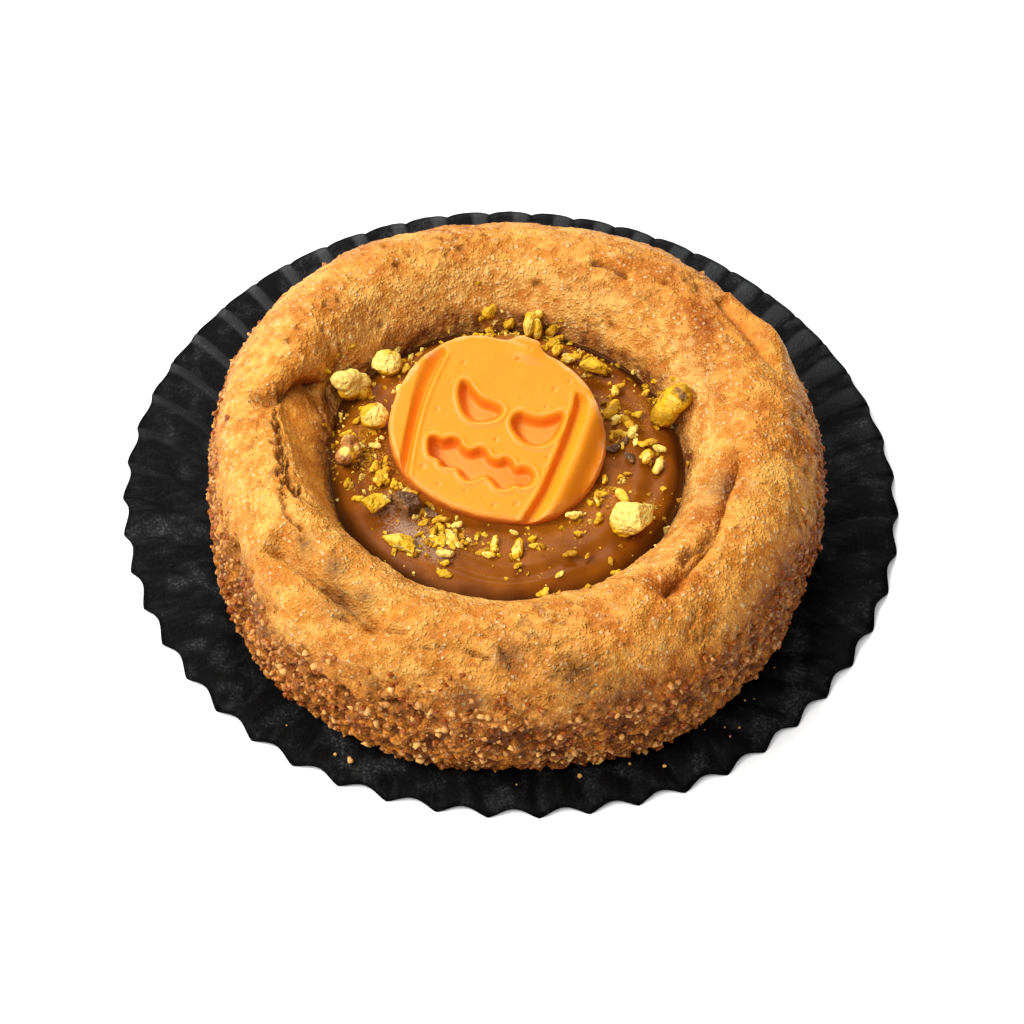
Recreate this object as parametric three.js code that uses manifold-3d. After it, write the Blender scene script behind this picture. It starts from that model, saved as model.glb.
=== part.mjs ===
// A round filled cookie in its flattened paper case: a thick ring-shaped dough
// with a well of chocolate cream, a moulded orange chocolate pumpkin set into
// the cream, and chopped pistachios around it.
// Millimetres, +Z up. The origin is the middle of the case on the table, and
// +Y points away from the side that the cookie is seen from.

import * as THREE from 'three';
import { mergeVertices } from 'three/addons/utils/BufferGeometryUtils.js';
import Module from 'manifold-3d';

const wasm = await Module();
wasm.setup();

// ---------------------------------------------------------------- sizes

const GAP = 0.35; // air left between two pieces that touch

const CASE = {
  radius: 60, // to the tips of the scalloped rim
  thickness: 0.4,
  pleats: 52,
  pressed: 41, // the cookie presses the pleats flat up to this distance from its own axis,
  free: 52, // and they have their full height from here on
  scallop: 1.2, // depth of a notch between two tips
  frontWave: 1.0, // height of the pleats at the rim, near side
  backWave: 1.7, // and far side
  bulges: [ // stretches of rim that stick out a little
    { angle: -57, spread: 13, amount: 0.6 },
    { angle: -122, spread: 16, amount: 0.5 },
  ],
  drift: -0.17, // the pleats start this share of a pitch off the X axis,
  squeeze: { angle: -28, spread: 30, amount: -0.38 }, // and crowd together on the right
};

const DOUGH = {
  x: -0.1,
  y: -6.5,
  waves: [ // its outline is uneven: [waves round the rim, height, degrees of a crest]
    [1, 0.3, -51], [2, 1.15, -86], [3, 0.45, 13], [4, 0.4, -42], [5, 0.3, 13],
  ],
  wellShiftX: -0.9, // the well sits off the middle of the ring
  wellShiftY: -0.6,
  lump: 0.55, // soft unevenness all over
  lumpSize: 11,
  crag: 0.28, // finer crags on the crust
  cragSize: 4,
};

// Half section of the dough, [radius, height]: from the foot of the outer wall,
// over the crown and down the inner wall to the floor of the well.
const DOUGH_SECTION = [
  [41.5, 0.9], [45.6, 2.0], [47.2, 5.6], [47.5, 9.8], [46.4, 15.8], [43.4, 20.8], [39.6, 23.5],
  [36.0, 24.3], [32.6, 23.2], [29.6, 20.2], [27.6, 16.6], [26.6, 13.0], [25.4, 10.2], [21.5, 9.0],
];
const CROWN_SPAN = 7; // the section's span where the crown is highest

// Folds and cracks that cross the crust, as paths of [degrees, radius, height].
const CREASES = [
  { width: 1.5, depth: 2.4, path: [[180, 38.5, 24], [173, 34.2, 23.8], [167, 31.5, 22], [159, 28.2, 18]] },
  { width: 1.0, depth: 1.5, path: [[181, 36.5, 24.3], [193, 34, 23.6], [208, 33.4, 23.3], [219, 31, 21.8]] },
  { width: 1.3, depth: 1.5, path: [[206, 46.4, 18], [213, 47.2, 14], [221, 47.5, 10]] },
  { width: 1.1, depth: 1.2, path: [[223, 41, 23.6], [233, 41, 23.6], [241, 42, 23]] },
  { width: 1.1, depth: 1.6, path: [[-17, 33.8, 23.6], [-31, 34.3, 23.8], [-47, 36, 24.3], [-54, 37.6, 24.3]] },
  { width: 1.5, depth: 1.9, path: [[39, 42.4, 22], [29, 42.8, 21.8], [18, 43.4, 21.2]] },
  { width: 1.0, depth: 1.0, path: [[8, 42, 23], [0, 42.8, 22.6], [-8, 42, 23]] },
];

// Broad swellings (rise > 0) and hollows (rise < 0) of the crust.
const SWELLS = [
  { at: [176, 31.0, 21], reach: 6.5, rise: -1.5 }, // smooth tongue below the left fold
  { at: [192, 30.5, 21], reach: 7.0, rise: -1.0 },
  { at: [157, 28.0, 17], reach: 4.5, rise: -2.4 }, // recess under the fold
  { at: [28, 45.2, 19.5], reach: 4.5, rise: 1.2 }, // lip folded over the far right edge
  { at: [150, 35, 24], reach: 8, rise: 0.7 },
  { at: [95, 41, 23], reach: 16, rise: -0.6 },
];

const CREAM = {
  level: 15.2,
  domeX: -1.5, // it rises under the pumpkin
  domeY: -2,
  domeHeight: 4.6,
  domeRadius: 9.5,
  rippleRadius: 20.5, // one low wave runs round it
  ripple: 0.8,
  rippleWidth: 2.0,
  edgeDrop: 1.9, // it rounds down to the wall
  edgeStart: 0.86, // from this share of its radius outward
};

const PUMPKIN = {
  x: -2.7, // middle of its face
  y: -6.4,
  z: 21.0,
  tilt: 19.9, // it leans towards the viewer, in degrees
  lean: -1.7,
  turn: -17.1,
  halfWidth: 15.95,
  halfHeight: 13.75,
  squareness: 2.2, // exponent of its superellipse outline
  thickness: 4.6,
  stemHeight: 1.7,
  stemHalfWidth: 2.4,
  stemX: 0.2,
  grooveX: 11.4, // the two grooves between face and side lobes
  grooveBow: 1.7,
  grooveRadius: 1.15,
  recess: 1.3, // depth of the eyes and the mouth
};

// Outline of the far eye, [across from the line between the eyes, up], smooth through its points.
const EYE_MIDDLE = 1.2;
const EYE = [[0.8, 2.3], [2.9, 3.0], [5.0, 3.9], [7.4, 4.7], [7.9, 3.3], [7.0, 1.0], [4.6, -0.45], [2.0, 0.6]];

const MOUTH = {
  halfWidth: 8.1,
  top: -4.45,
  height: 3.5,
  endHeight: 1.7,
  teeth: 4.5, // waves of the jagged lips
  tooth: 0.42,
};

// Large pistachio pieces: place, size [long, wide, high], turn in degrees, how steeply they
// lean on the wall in degrees, and colour.
const NUTS = [
  { x: -24.9, y: 4.2, size: [7.6, 4.4, 4.0], turn: 14, lean: 40, tint: 'pale' },
  { x: -19.8, y: 9.1, size: [4.8, 4.6, 3.4], turn: 40, lean: 10, tint: 'pale' },
  { x: -21.0, y: -2.3, size: [4.4, 4.4, 3.6], turn: 70, lean: 0, tint: 'green' },
  { x: -24.3, y: -9.3, size: [5.2, 3.6, 3.6], turn: 70, lean: 10, tint: 'brown' },
  { x: -19.6, y: -18.1, size: [4.2, 3.2, 2.8], turn: 30, lean: 0, tint: 'green' },
  { x: -15.2, y: -17.9, size: [4.4, 3.4, 2.8], turn: -20, lean: 0, tint: 'skin' },
  { x: -15.8, y: -25.1, size: [5.4, 2.6, 2.0], turn: -20, lean: 5, tint: 'green' },
  { x: 17.6, y: -19.7, size: [6.6, 5.4, 5.2], turn: 60, lean: 15, tint: 'pale' },
  { x: 23.0, y: 2.1, size: [8.0, 5.0, 4.0], turn: 25, lean: 40, tint: 'green' },
  { x: 2.1, y: 17.8, size: [3.0, 3.6, 4.6], turn: 0, lean: 25, tint: 'green' },
  { x: 11.6, y: 9.9, size: [4.6, 2.6, 2.2], turn: -15, lean: 0, tint: 'green' },
];

const CRUMBS = {
  count: 48, // the larger grains of nut that stick to the cream
  smallest: 0.75,
  largest: 1.5,
  innerRadius: 12.5,
  margin: 0.7, // kept free round the pumpkin, the large pieces and the wall
  seed: 41,
  sparse: 0.2, // share of draws kept where few lie
  crowds: [ // and sectors where most of them lie
    { angle: 232, spread: 24 },
    { angle: 38, spread: 32 },
    { angle: 165, spread: 30 },
    { angle: 100, spread: 12 },
  ],
};

const SIDES = 104; // facets round the dough

// ---------------------------------------------------------------- helpers

const radians = THREE.MathUtils.degToRad;
const { smoothstep, lerp } = THREE.MathUtils;

// A repeatable random number for each lattice point, from -1 to 1.
function latticeValue(x, y, z, seed) {
  const wave = Math.sin(x * 127.1 + y * 311.7 + z * 74.7 + seed * 53.3) * 43758.5453;
  return 2 * (wave - Math.floor(wave)) - 1;
}

// Smooth noise from -1 to 1 that changes over a distance of one unit.
function noise(x, y, z, seed) {
  const [ix, iy, iz] = [x, y, z].map(Math.floor);
  const [fx, fy, fz] = [x - ix, y - iy, z - iz].map((f) => smoothstep(f, 0, 1));
  const corner = (dx, dy, dz) => latticeValue(ix + dx, iy + dy, iz + dz, seed);
  const edge = (dy, dz) => lerp(corner(0, dy, dz), corner(1, dy, dz), fx);
  const side = (dz) => lerp(edge(0, dz), edge(1, dz), fy);
  return lerp(side(0), side(1), fz);
}

// A bell-shaped bump of height 1: 1 at distance 0, a third at one width.
function bell(distance, width) {
  return Math.exp(-((distance / width) ** 2));
}

// Closed solid of rings between two poles. place(row, turn) gives the points:
// rows run from the bottom pole outward, up and in to the top pole.
function ringSolid(rows, sides, place) {
  const points = [place(0, 0)];
  for (let row = 1; row < rows; row += 1) {
    for (let side = 0; side < sides; side += 1) {
      points.push(place(row, side / sides));
    }
  }
  points.push(place(rows, 0));
  const index = [];
  const at = (row, side) => 1 + (row - 1) * sides + (side % sides);
  const last = points.length - 1;
  for (let side = 0; side < sides; side += 1) {
    index.push(0, at(1, side + 1), at(1, side));
    for (let row = 1; row < rows - 1; row += 1) {
      index.push(at(row, side), at(row, side + 1), at(row + 1, side + 1));
      index.push(at(row, side), at(row + 1, side + 1), at(row + 1, side));
    }
    index.push(at(rows - 1, side), at(rows - 1, side + 1), last);
  }
  const geometry = new THREE.BufferGeometry().setFromPoints(points);
  geometry.setIndex(index);
  return geometry;
}

// From a three.js geometry to a solid that can be cut or joined, and back.
function toSolid(geometry) {
  const bare = geometry.clone();
  bare.deleteAttribute('normal');
  bare.deleteAttribute('uv');
  const merged = mergeVertices(bare, 1e-4);
  return new wasm.Manifold(new wasm.Mesh({
    numProp: 3,
    vertProperties: new Float32Array(merged.attributes.position.array),
    triVerts: new Uint32Array(merged.index.array),
  }));
}

function toGeometry(solid) {
  const mesh = solid.getMesh();
  const geometry = new THREE.BufferGeometry();
  geometry.setAttribute('position', new THREE.BufferAttribute(mesh.vertProperties, 3));
  geometry.setIndex(new THREE.BufferAttribute(mesh.triVerts, 1));
  return geometry;
}

function piece(name, geometry, color, roughness) {
  geometry.computeVertexNormals();
  const material = new THREE.MeshStandardMaterial({ color, roughness, metalness: 0 });
  const mesh = new THREE.Mesh(geometry, material);
  mesh.name = name;
  return mesh;
}

// ---------------------------------------------------------------- paper case

// Share of the pleats' full height at a place: none under the cookie, all at the rim.
function pleatGrowth(x, y) {
  return smoothstep(Math.hypot(x - DOUGH.x, y - DOUGH.y), CASE.pressed, CASE.free);
}

// Upper or lower face of the paper. The inner ring of points is round the dough's axis, the
// outermost is the rim, and every tip of the rim is the foot of a pleat.
function casePoint(share, turn, lift) {
  const nominal = turn > 0.5 ? 360 * (turn - 1) : 360 * turn;
  const at = (place) => place.amount * bell(nominal - place.angle, place.spread);
  const angle = radians(nominal + (CASE.drift + at(CASE.squeeze)) * 360 / CASE.pleats);
  const bulge = CASE.bulges.reduce((sum, place) => sum + at(place), 0);
  const fold = Math.abs(Math.sin(Math.PI * CASE.pleats * turn));
  const radius = lerp(CASE.pressed, CASE.radius, share) + share ** 2 * (bulge - CASE.scallop * fold);
  const x = lerp(DOUGH.x, 0, share) + radius * Math.cos(angle);
  const y = lerp(DOUGH.y, 0, share) + radius * Math.sin(angle);
  const wave = lerp(CASE.frontWave, CASE.backWave, (1 + Math.sin(angle)) / 2);
  return new THREE.Vector3(x, y, pleatGrowth(x, y) * wave * fold + lift);
}

function paperCase() {
  const stepsPerPleat = 4;
  const rings = [0, 0.45, 1];
  const rows = 2 * rings.length + 1;
  return ringSolid(rows, CASE.pleats * stepsPerPleat, (row, turn) => {
    if (row === 0) return new THREE.Vector3(0, 0, 0);
    if (row === rows) return new THREE.Vector3(0, 0, CASE.thickness);
    const lower = row <= rings.length;
    const share = lower ? rings[row - 1] : rings[rows - 1 - row];
    return casePoint(share, turn, lower ? 0 : CASE.thickness);
  });
}

// ---------------------------------------------------------------- dough

const doughSection = new THREE.SplineCurve(DOUGH_SECTION.map(([r, z]) => new THREE.Vector2(r, z)));
const LAST_SPAN = DOUGH_SECTION.length - 1;

function polarPoint([degrees, radius, height]) {
  const angle = radians(degrees);
  return new THREE.Vector3(radius * Math.cos(angle), radius * Math.sin(angle), height);
}

const creaseLines = CREASES.map(({ path, width, depth }) => {
  const curve = new THREE.CatmullRomCurve3(path.map(polarPoint));
  return { points: curve.getPoints(24), width, depth };
});
const swellSpots = SWELLS.map(({ at, reach, rise }) => ({ centre: polarPoint(at), reach, rise }));

// How far the crust stands in or out at a point given from the dough's own axis.
function crustRelief(point) {
  let relief = DOUGH.lump * noise(...point.clone().divideScalar(DOUGH.lumpSize), 3);
  relief += DOUGH.crag * noise(...point.clone().divideScalar(DOUGH.cragSize), 7);
  for (const { points, width, depth } of creaseLines) {
    const distance = Math.min(...points.map((p) => p.distanceTo(point)));
    relief -= depth * bell(distance, width);
  }
  for (const { centre, reach, rise } of swellSpots) {
    relief += rise * bell(centre.distanceTo(point), reach);
  }
  return relief;
}

// Unevenness of the dough's outline.
function outlineWave(angle) {
  return DOUGH.waves.reduce((sum, [count, height, crest]) => (
    sum + height * Math.cos(count * (angle - radians(crest)))
  ), 0);
}

// A point of the dough's skin, span counting along its section.
function doughPoint(span, angle) {
  const share = THREE.MathUtils.clamp(span / LAST_SPAN, 0, 1);
  const { x: radius, y: height } = doughSection.getPoint(share);
  const along = doughSection.getTangent(share);
  const inward = smoothstep(span, CROWN_SPAN - 2, CROWN_SPAN + 3);
  const bare = new THREE.Vector3(radius * Math.cos(angle), radius * Math.sin(angle), height);
  const outer = smoothstep(height, 1, 5);
  const relief = crustRelief(bare) * outer * (1 - 0.7 * smoothstep(span, CROWN_SPAN + 3, LAST_SPAN - 1));
  const reach = radius + outlineWave(angle) * (1 - 0.7 * inward) + relief * along.y;
  return new THREE.Vector3(
    DOUGH.x + reach * Math.cos(angle) + inward * DOUGH.wellShiftX,
    DOUGH.y + reach * Math.sin(angle) + inward * DOUGH.wellShiftY,
    height - relief * along.x,
  );
}

function dough() {
  const steps = 2 * LAST_SPAN;
  const rows = steps + 2;
  const floor = DOUGH_SECTION[LAST_SPAN][1];
  return ringSolid(rows, SIDES, (row, turn) => {
    if (row === 0) return new THREE.Vector3(DOUGH.x, DOUGH.y, DOUGH_SECTION[0][1]);
    if (row === rows) {
      return new THREE.Vector3(DOUGH.x + DOUGH.wellShiftX, DOUGH.y + DOUGH.wellShiftY, floor);
    }
    return doughPoint((row - 1) / 2, 2 * Math.PI * turn);
  });
}

// ---------------------------------------------------------------- cream

const WELL = new THREE.Vector2(DOUGH.x + DOUGH.wellShiftX, DOUGH.y + DOUGH.wellShiftY);
const WELL_RADIUS = DOUGH_SECTION[11][0]; // at the level of the cream
const CREAM_TOP_SPAN = 10.8; // where the cream's edge meets the inner wall

// The cream's edge, a gap inside the wall.
function creamSide(span, angle) {
  const wall = doughPoint(span, angle);
  wall.x -= GAP * Math.cos(angle);
  wall.y -= GAP * Math.sin(angle);
  wall.z += GAP;
  return wall;
}

function creamHeight(x, y) {
  const fromWell = Math.hypot(x - WELL.x, y - WELL.y);
  const fromDome = Math.hypot(x - CREAM.domeX, y - CREAM.domeY);
  const share = fromWell / WELL_RADIUS;
  return CREAM.level
    + CREAM.domeHeight * bell(fromDome, CREAM.domeRadius)
    + CREAM.ripple * bell(fromWell - CREAM.rippleRadius, CREAM.rippleWidth)
    - CREAM.edgeDrop * smoothstep(share, CREAM.edgeStart, 1.02) ** 2;
}

function creamBody() {
  const sides = SIDES / 2;
  const sideSpans = [LAST_SPAN, 12, 11.4, CREAM_TOP_SPAN];
  const topShares = [0.965, 0.9, 0.8, 0.7, 0.6, 0.45, 0.25];
  const rows = sideSpans.length + topShares.length + 1;
  return ringSolid(rows, sides, (row, turn) => {
    const angle = 2 * Math.PI * turn;
    if (row === 0) return new THREE.Vector3(WELL.x, WELL.y, DOUGH_SECTION[LAST_SPAN][1] + GAP);
    if (row === rows) return new THREE.Vector3(WELL.x, WELL.y, creamHeight(WELL.x, WELL.y));
    if (row <= sideSpans.length) return creamSide(sideSpans[row - 1], angle);
    const point = creamSide(CREAM_TOP_SPAN, angle);
    const share = topShares[row - 1 - sideSpans.length];
    point.x = lerp(WELL.x, point.x, share);
    point.y = lerp(WELL.y, point.y, share);
    point.z = creamHeight(point.x, point.y);
    return point;
  });
}

// ---------------------------------------------------------------- pumpkin

// Outline of the pumpkin with its short stem, at a number of millimetres outside the true one.
function pumpkinOutline(turn, outside) {
  const angle = 2 * Math.PI * turn;
  const [c, s] = [Math.cos(angle), Math.sin(angle)];
  const power = PUMPKIN.squareness;
  const sum = Math.abs(c / PUMPKIN.halfWidth) ** power + Math.abs(s / PUMPKIN.halfHeight) ** power;
  const reach = sum ** (-1 / power) + outside;
  const stem = s > 0 ? bell((reach * c - PUMPKIN.stemX) / PUMPKIN.stemHalfWidth, 1) ** 2 : 0;
  return new THREE.Vector2(reach * c, reach * s + PUMPKIN.stemHeight * stem);
}

// Its sides slope a little and round over into the flat face, as a mould needs.
const PUMPKIN_EDGE = [[1.0, -3.2], [0.985, -1.9], [0.95, -0.9], [0.9, -0.3], [0.82, 0]];

function pumpkinBlank(outside) {
  const base = -PUMPKIN.thickness;
  const edge = outside > 0 ? [[1, 0.2]] : PUMPKIN_EDGE;
  const levels = [[1, base - outside], ...edge];
  const rows = levels.length + 1;
  return ringSolid(rows, 60, (row, turn) => {
    if (row === 0) return new THREE.Vector3(0, 0, base - outside);
    const [share, height] = levels[Math.min(row, levels.length) - 1];
    const outline = pumpkinOutline(turn, outside).multiplyScalar(row === rows ? 0 : share);
    return new THREE.Vector3(outline.x, outline.y, height);
  });
}

// A shape sunk into the face.
function recessCutter(points) {
  const cutter = new THREE.ExtrudeGeometry(new THREE.Shape(points), {
    depth: 2 * PUMPKIN.recess,
    bevelEnabled: false,
  });
  return toSolid(cutter.translate(0, 0, -PUMPKIN.recess));
}

function eyeCutter(side) {
  const outline = EYE.map(([across, up]) => new THREE.Vector3(EYE_MIDDLE + side * across, up, 0));
  const smooth = new THREE.CatmullRomCurve3(outline, true).getPoints(16).slice(0, -1);
  return recessCutter(smooth.map((p) => new THREE.Vector2(p.x, p.y)));
}

// The mouth is a band with jagged lips that narrows at its corners.
function mouthCutter() {
  const steps = 18;
  const lip = (across, isTop) => {
    const share = across / MOUTH.halfWidth;
    const height = lerp(MOUTH.height, MOUTH.endHeight, share ** 4);
    const wave = MOUTH.tooth * Math.cos(2 * Math.PI * MOUTH.teeth * (share + 1) / 2 + Math.PI);
    const middle = MOUTH.top - MOUTH.height / 2;
    return middle + (isTop ? height / 2 + wave : -height / 2 + wave);
  };
  const points = [];
  for (let step = 0; step <= steps; step += 1) {
    const across = lerp(-MOUTH.halfWidth, MOUTH.halfWidth, step / steps);
    points.push(new THREE.Vector2(across, lip(across, false)));
  }
  for (let step = steps; step >= 0; step -= 1) {
    const across = lerp(-MOUTH.halfWidth, MOUTH.halfWidth, step / steps);
    points.push(new THREE.Vector2(across, lip(across, true)));
  }
  return recessCutter(points);
}

// A round-bottomed groove that bows outward from the top of the pumpkin to its foot.
function grooveCutter(side) {
  const height = PUMPKIN.halfHeight + 1;
  const path = new THREE.QuadraticBezierCurve3(
    new THREE.Vector3(side * (PUMPKIN.grooveX - PUMPKIN.grooveBow), height, 0.1),
    new THREE.Vector3(side * (PUMPKIN.grooveX + PUMPKIN.grooveBow), 0, 0.1),
    new THREE.Vector3(side * (PUMPKIN.grooveX - PUMPKIN.grooveBow), -height, 0.1),
  );
  const section = new THREE.Shape().absarc(0, 0, PUMPKIN.grooveRadius, 0, 2 * Math.PI);
  const cutter = new THREE.ExtrudeGeometry(section, { steps: 10, extrudePath: path, curveSegments: 4 });
  return toSolid(cutter);
}

const pumpkinPlace = new THREE.Matrix4().compose(
  new THREE.Vector3(PUMPKIN.x, PUMPKIN.y, PUMPKIN.z),
  new THREE.Quaternion().setFromEuler(
    new THREE.Euler(radians(PUMPKIN.tilt), radians(PUMPKIN.lean), radians(PUMPKIN.turn)),
  ),
  new THREE.Vector3(1, 1, 1),
);

function pumpkin() {
  let body = toSolid(pumpkinBlank(0));
  for (const side of [-1, 1]) {
    body = body.subtract(grooveCutter(side)).subtract(eyeCutter(side));
  }
  return toGeometry(body.subtract(mouthCutter())).applyMatrix4(pumpkinPlace);
}

// ---------------------------------------------------------------- pistachios

// Height of the inner wall above a point of the plan, or of the cream where that is higher.
function groundHeight(x, y) {
  const angle = Math.atan2(y - WELL.y, x - WELL.x);
  const radius = Math.hypot(x - WELL.x, y - WELL.y);
  for (let span = CROWN_SPAN; span < LAST_SPAN; span += 0.25) {
    const wall = doughPoint(span, angle);
    if (Math.hypot(wall.x - WELL.x, wall.y - WELL.y) < radius) {
      return Math.max(wall.z, creamHeight(x, y));
    }
  }
  return creamHeight(x, y);
}

// An uneven pebble with a few flat sides, of unit radius.
function chunk(rows, sides, seed) {
  return ringSolid(rows, sides, (row, turn) => {
    const polar = Math.PI * row / rows;
    const angle = 2 * Math.PI * turn;
    const way = new THREE.Vector3(
      Math.sin(polar) * Math.cos(angle),
      Math.sin(polar) * Math.sin(angle),
      -Math.cos(polar),
    );
    return way.multiplyScalar(1 + 0.3 * noise(1.6 * way.x, 1.6 * way.y, 1.6 * way.z, seed));
  });
}

// A large piece laid on what is under it, a gap above its highest spot.
function nut({ x, y, size, turn, lean }, seed) {
  const outward = Math.atan2(y - WELL.y, x - WELL.x);
  const geometry = chunk(5, 8, seed);
  geometry.scale(...size.map((s) => s / 2));
  geometry.rotateZ(radians(turn) - outward);
  geometry.rotateY(-radians(lean));
  geometry.rotateZ(outward);
  geometry.translate(x, y, 0);
  const { position } = geometry.attributes;
  let lift = -Infinity;
  for (let i = 0; i < position.count; i += 1) {
    lift = Math.max(lift, groundHeight(position.getX(i), position.getY(i)) - position.getZ(i));
  }
  return geometry.translate(0, 0, lift + GAP);
}

function isFree(x, y, reach) {
  const room = reach + CRUMBS.margin;
  const local = new THREE.Vector3(x, y, creamHeight(x, y)).applyMatrix4(pumpkinPlace.clone().invert());
  const turn = Math.atan2(local.y, local.x) / (2 * Math.PI);
  if (Math.hypot(local.x, local.y) < pumpkinOutline(turn, room).length()) return false;
  if (NUTS.some((n) => Math.hypot(x - n.x, y - n.y) < n.size[0] / 2 + room)) return false;
  return Math.hypot(x - WELL.x, y - WELL.y) < WELL_RADIUS - room - 1.5;
}

// Share of the draws kept at an angle round the well.
function crowding(angle) {
  const degrees = THREE.MathUtils.radToDeg(angle);
  const sum = CRUMBS.crowds.reduce((total, crowd) => (
    total + bell(degrees - crowd.angle, crowd.spread)
  ), CRUMBS.sparse);
  return Math.min(sum, 1);
}

// Grains half sunk in the cream, by a seeded rule.
function creamWithCrumbs() {
  let body = toSolid(creamBody());
  body = body.subtract(toSolid(pumpkinBlank(GAP).applyMatrix4(pumpkinPlace)));
  let made = 0;
  for (let draw = 0; made < CRUMBS.count; draw += 1) {
    const random = (slot) => (1 + latticeValue(draw, slot, 0, CRUMBS.seed)) / 2;
    const angle = 2 * Math.PI * random(1);
    const radius = lerp(CRUMBS.innerRadius, WELL_RADIUS, random(2));
    const x = WELL.x + radius * Math.cos(angle);
    const y = WELL.y + radius * Math.sin(angle);
    const reach = lerp(CRUMBS.smallest, CRUMBS.largest, random(3) ** 2);
    if (isFree(x, y, reach) && random(7) < crowding(angle)) {
      const grain = new THREE.IcosahedronGeometry(reach, 0);
      grain.scale(1, lerp(0.6, 0.9, random(4)), lerp(0.6, 0.8, random(5)));
      grain.rotateZ(2 * Math.PI * random(6));
      grain.translate(x, y, creamHeight(x, y) + 0.25 * reach);
      body = body.add(toSolid(grain));
      made += 1;
    }
  }
  return toGeometry(body);
}

// ---------------------------------------------------------------- the whole

const NUT_COLOURS = { pale: 0xe9cf6a, green: 0xc9a52a, brown: 0xb9772f, skin: 0x4a2f24 };

const part = new THREE.Group();
part.add(piece('case', paperCase(), 0x1d1d1f, 0.8));
part.add(piece('cookie', dough(), 0xc98a4e, 0.85));
part.add(piece('cream', creamWithCrumbs(), 0xa5602d, 0.3));
part.add(piece('pumpkin', pumpkin(), 0xffab32, 0.4));
NUTS.forEach((entry, i) => {
  const name = `nut_${String(i + 1).padStart(2, '0')}`;
  part.add(piece(name, nut(entry, i + 1), NUT_COLOURS[entry.tint], 0.7));
});

export default part;
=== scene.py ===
"""A round filled cookie in its flattened paper case: a thick ring of baked dough, a well of
chocolate cream, a moulded orange chocolate pumpkin set into it and chopped pistachios.

Sizes and places are in millimetres, in the frame of the solids: +Z up, the middle of the
case at the origin, +Y away from the side that the cookie is seen from. Those that the solids
are made from are repeated here, so that each piece keeps the form of the solid it stands for.
"""

import math
from types import SimpleNamespace as Sizes

import bmesh
import bpy
import numpy as np
from mathutils import Euler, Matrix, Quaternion, Vector


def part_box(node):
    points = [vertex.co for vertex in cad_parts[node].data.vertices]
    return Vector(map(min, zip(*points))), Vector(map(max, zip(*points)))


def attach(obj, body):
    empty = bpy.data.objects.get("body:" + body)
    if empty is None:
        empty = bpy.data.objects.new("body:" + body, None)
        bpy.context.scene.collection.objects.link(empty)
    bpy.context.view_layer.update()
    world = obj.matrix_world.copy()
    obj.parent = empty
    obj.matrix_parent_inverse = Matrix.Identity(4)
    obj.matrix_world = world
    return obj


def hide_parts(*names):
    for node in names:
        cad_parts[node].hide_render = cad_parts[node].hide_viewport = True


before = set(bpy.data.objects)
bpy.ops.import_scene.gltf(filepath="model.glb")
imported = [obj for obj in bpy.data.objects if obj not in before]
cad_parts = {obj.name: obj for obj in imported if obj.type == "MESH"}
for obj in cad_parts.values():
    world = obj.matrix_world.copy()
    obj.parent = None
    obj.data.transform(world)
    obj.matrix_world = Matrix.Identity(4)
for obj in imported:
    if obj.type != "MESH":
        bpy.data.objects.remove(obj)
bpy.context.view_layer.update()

MM = 0.001  # metres in a millimetre

# ---------------------------------------------------------------- sizes of the solids

CASE = Sizes(
    radius=60.0,
    pleats=52,
    pressed=41.0,
    free=52.0,
    scallop=1.05,
    front_wave=0.8,
    back_wave=1.7,
    bulges=[(-57, 13, 0.6), (-122, 16, 0.5)],
    drift=-0.17,
    squeeze=(-28, 30, -0.38),
)

DOUGH = Sizes(
    x=-0.1,
    y=-6.5,
    waves=[(1, 0.3, -51), (2, 1.15, -86), (3, 0.45, 13), (4, 0.4, -42), (5, 0.3, 13)],
    well_shift=(-0.9, -0.6),
    lump=0.55,
    lump_size=11,
    crag=0.28,
    crag_size=4,
)

# Half section of the dough, (radius, height), from the foot of its outer wall over the crown
# and down the inner wall to the floor of the well.
DOUGH_SECTION = [
    (41.5, 0.9), (45.6, 2.0), (47.2, 5.6), (47.5, 9.8), (46.4, 15.8), (43.4, 20.8), (39.6, 23.5),
    (36.0, 24.3), (32.6, 23.2), (29.6, 20.2), (27.6, 16.6), (26.6, 13.0), (25.4, 10.2), (21.5, 9.0),
]
CROWN_SPAN = 7
LAST_SPAN = len(DOUGH_SECTION) - 1


def crease(path, width, depth, tear=1.0, dark=0.8, step=0.3, wander=0.5, ends=(0.1, 0.1), shade=0.2):
    """A fold or crack along a path of (degrees, radius, height) about the dough's axis: how wide
    and deep (raised where the depth is below zero), how deep the torn line in it is and how much
    painted shade darkens it, how much lower the crust lies on its left (or, below zero, on its
    right), how far its edges wander, how much of it each end fades over, and how much painted
    shadow darkens the low side."""
    return Sizes(path=path, width=width, depth=depth, tear=tear, dark=dark, step=step,
                 wander=wander, ends=ends, shade=shade)


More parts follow.
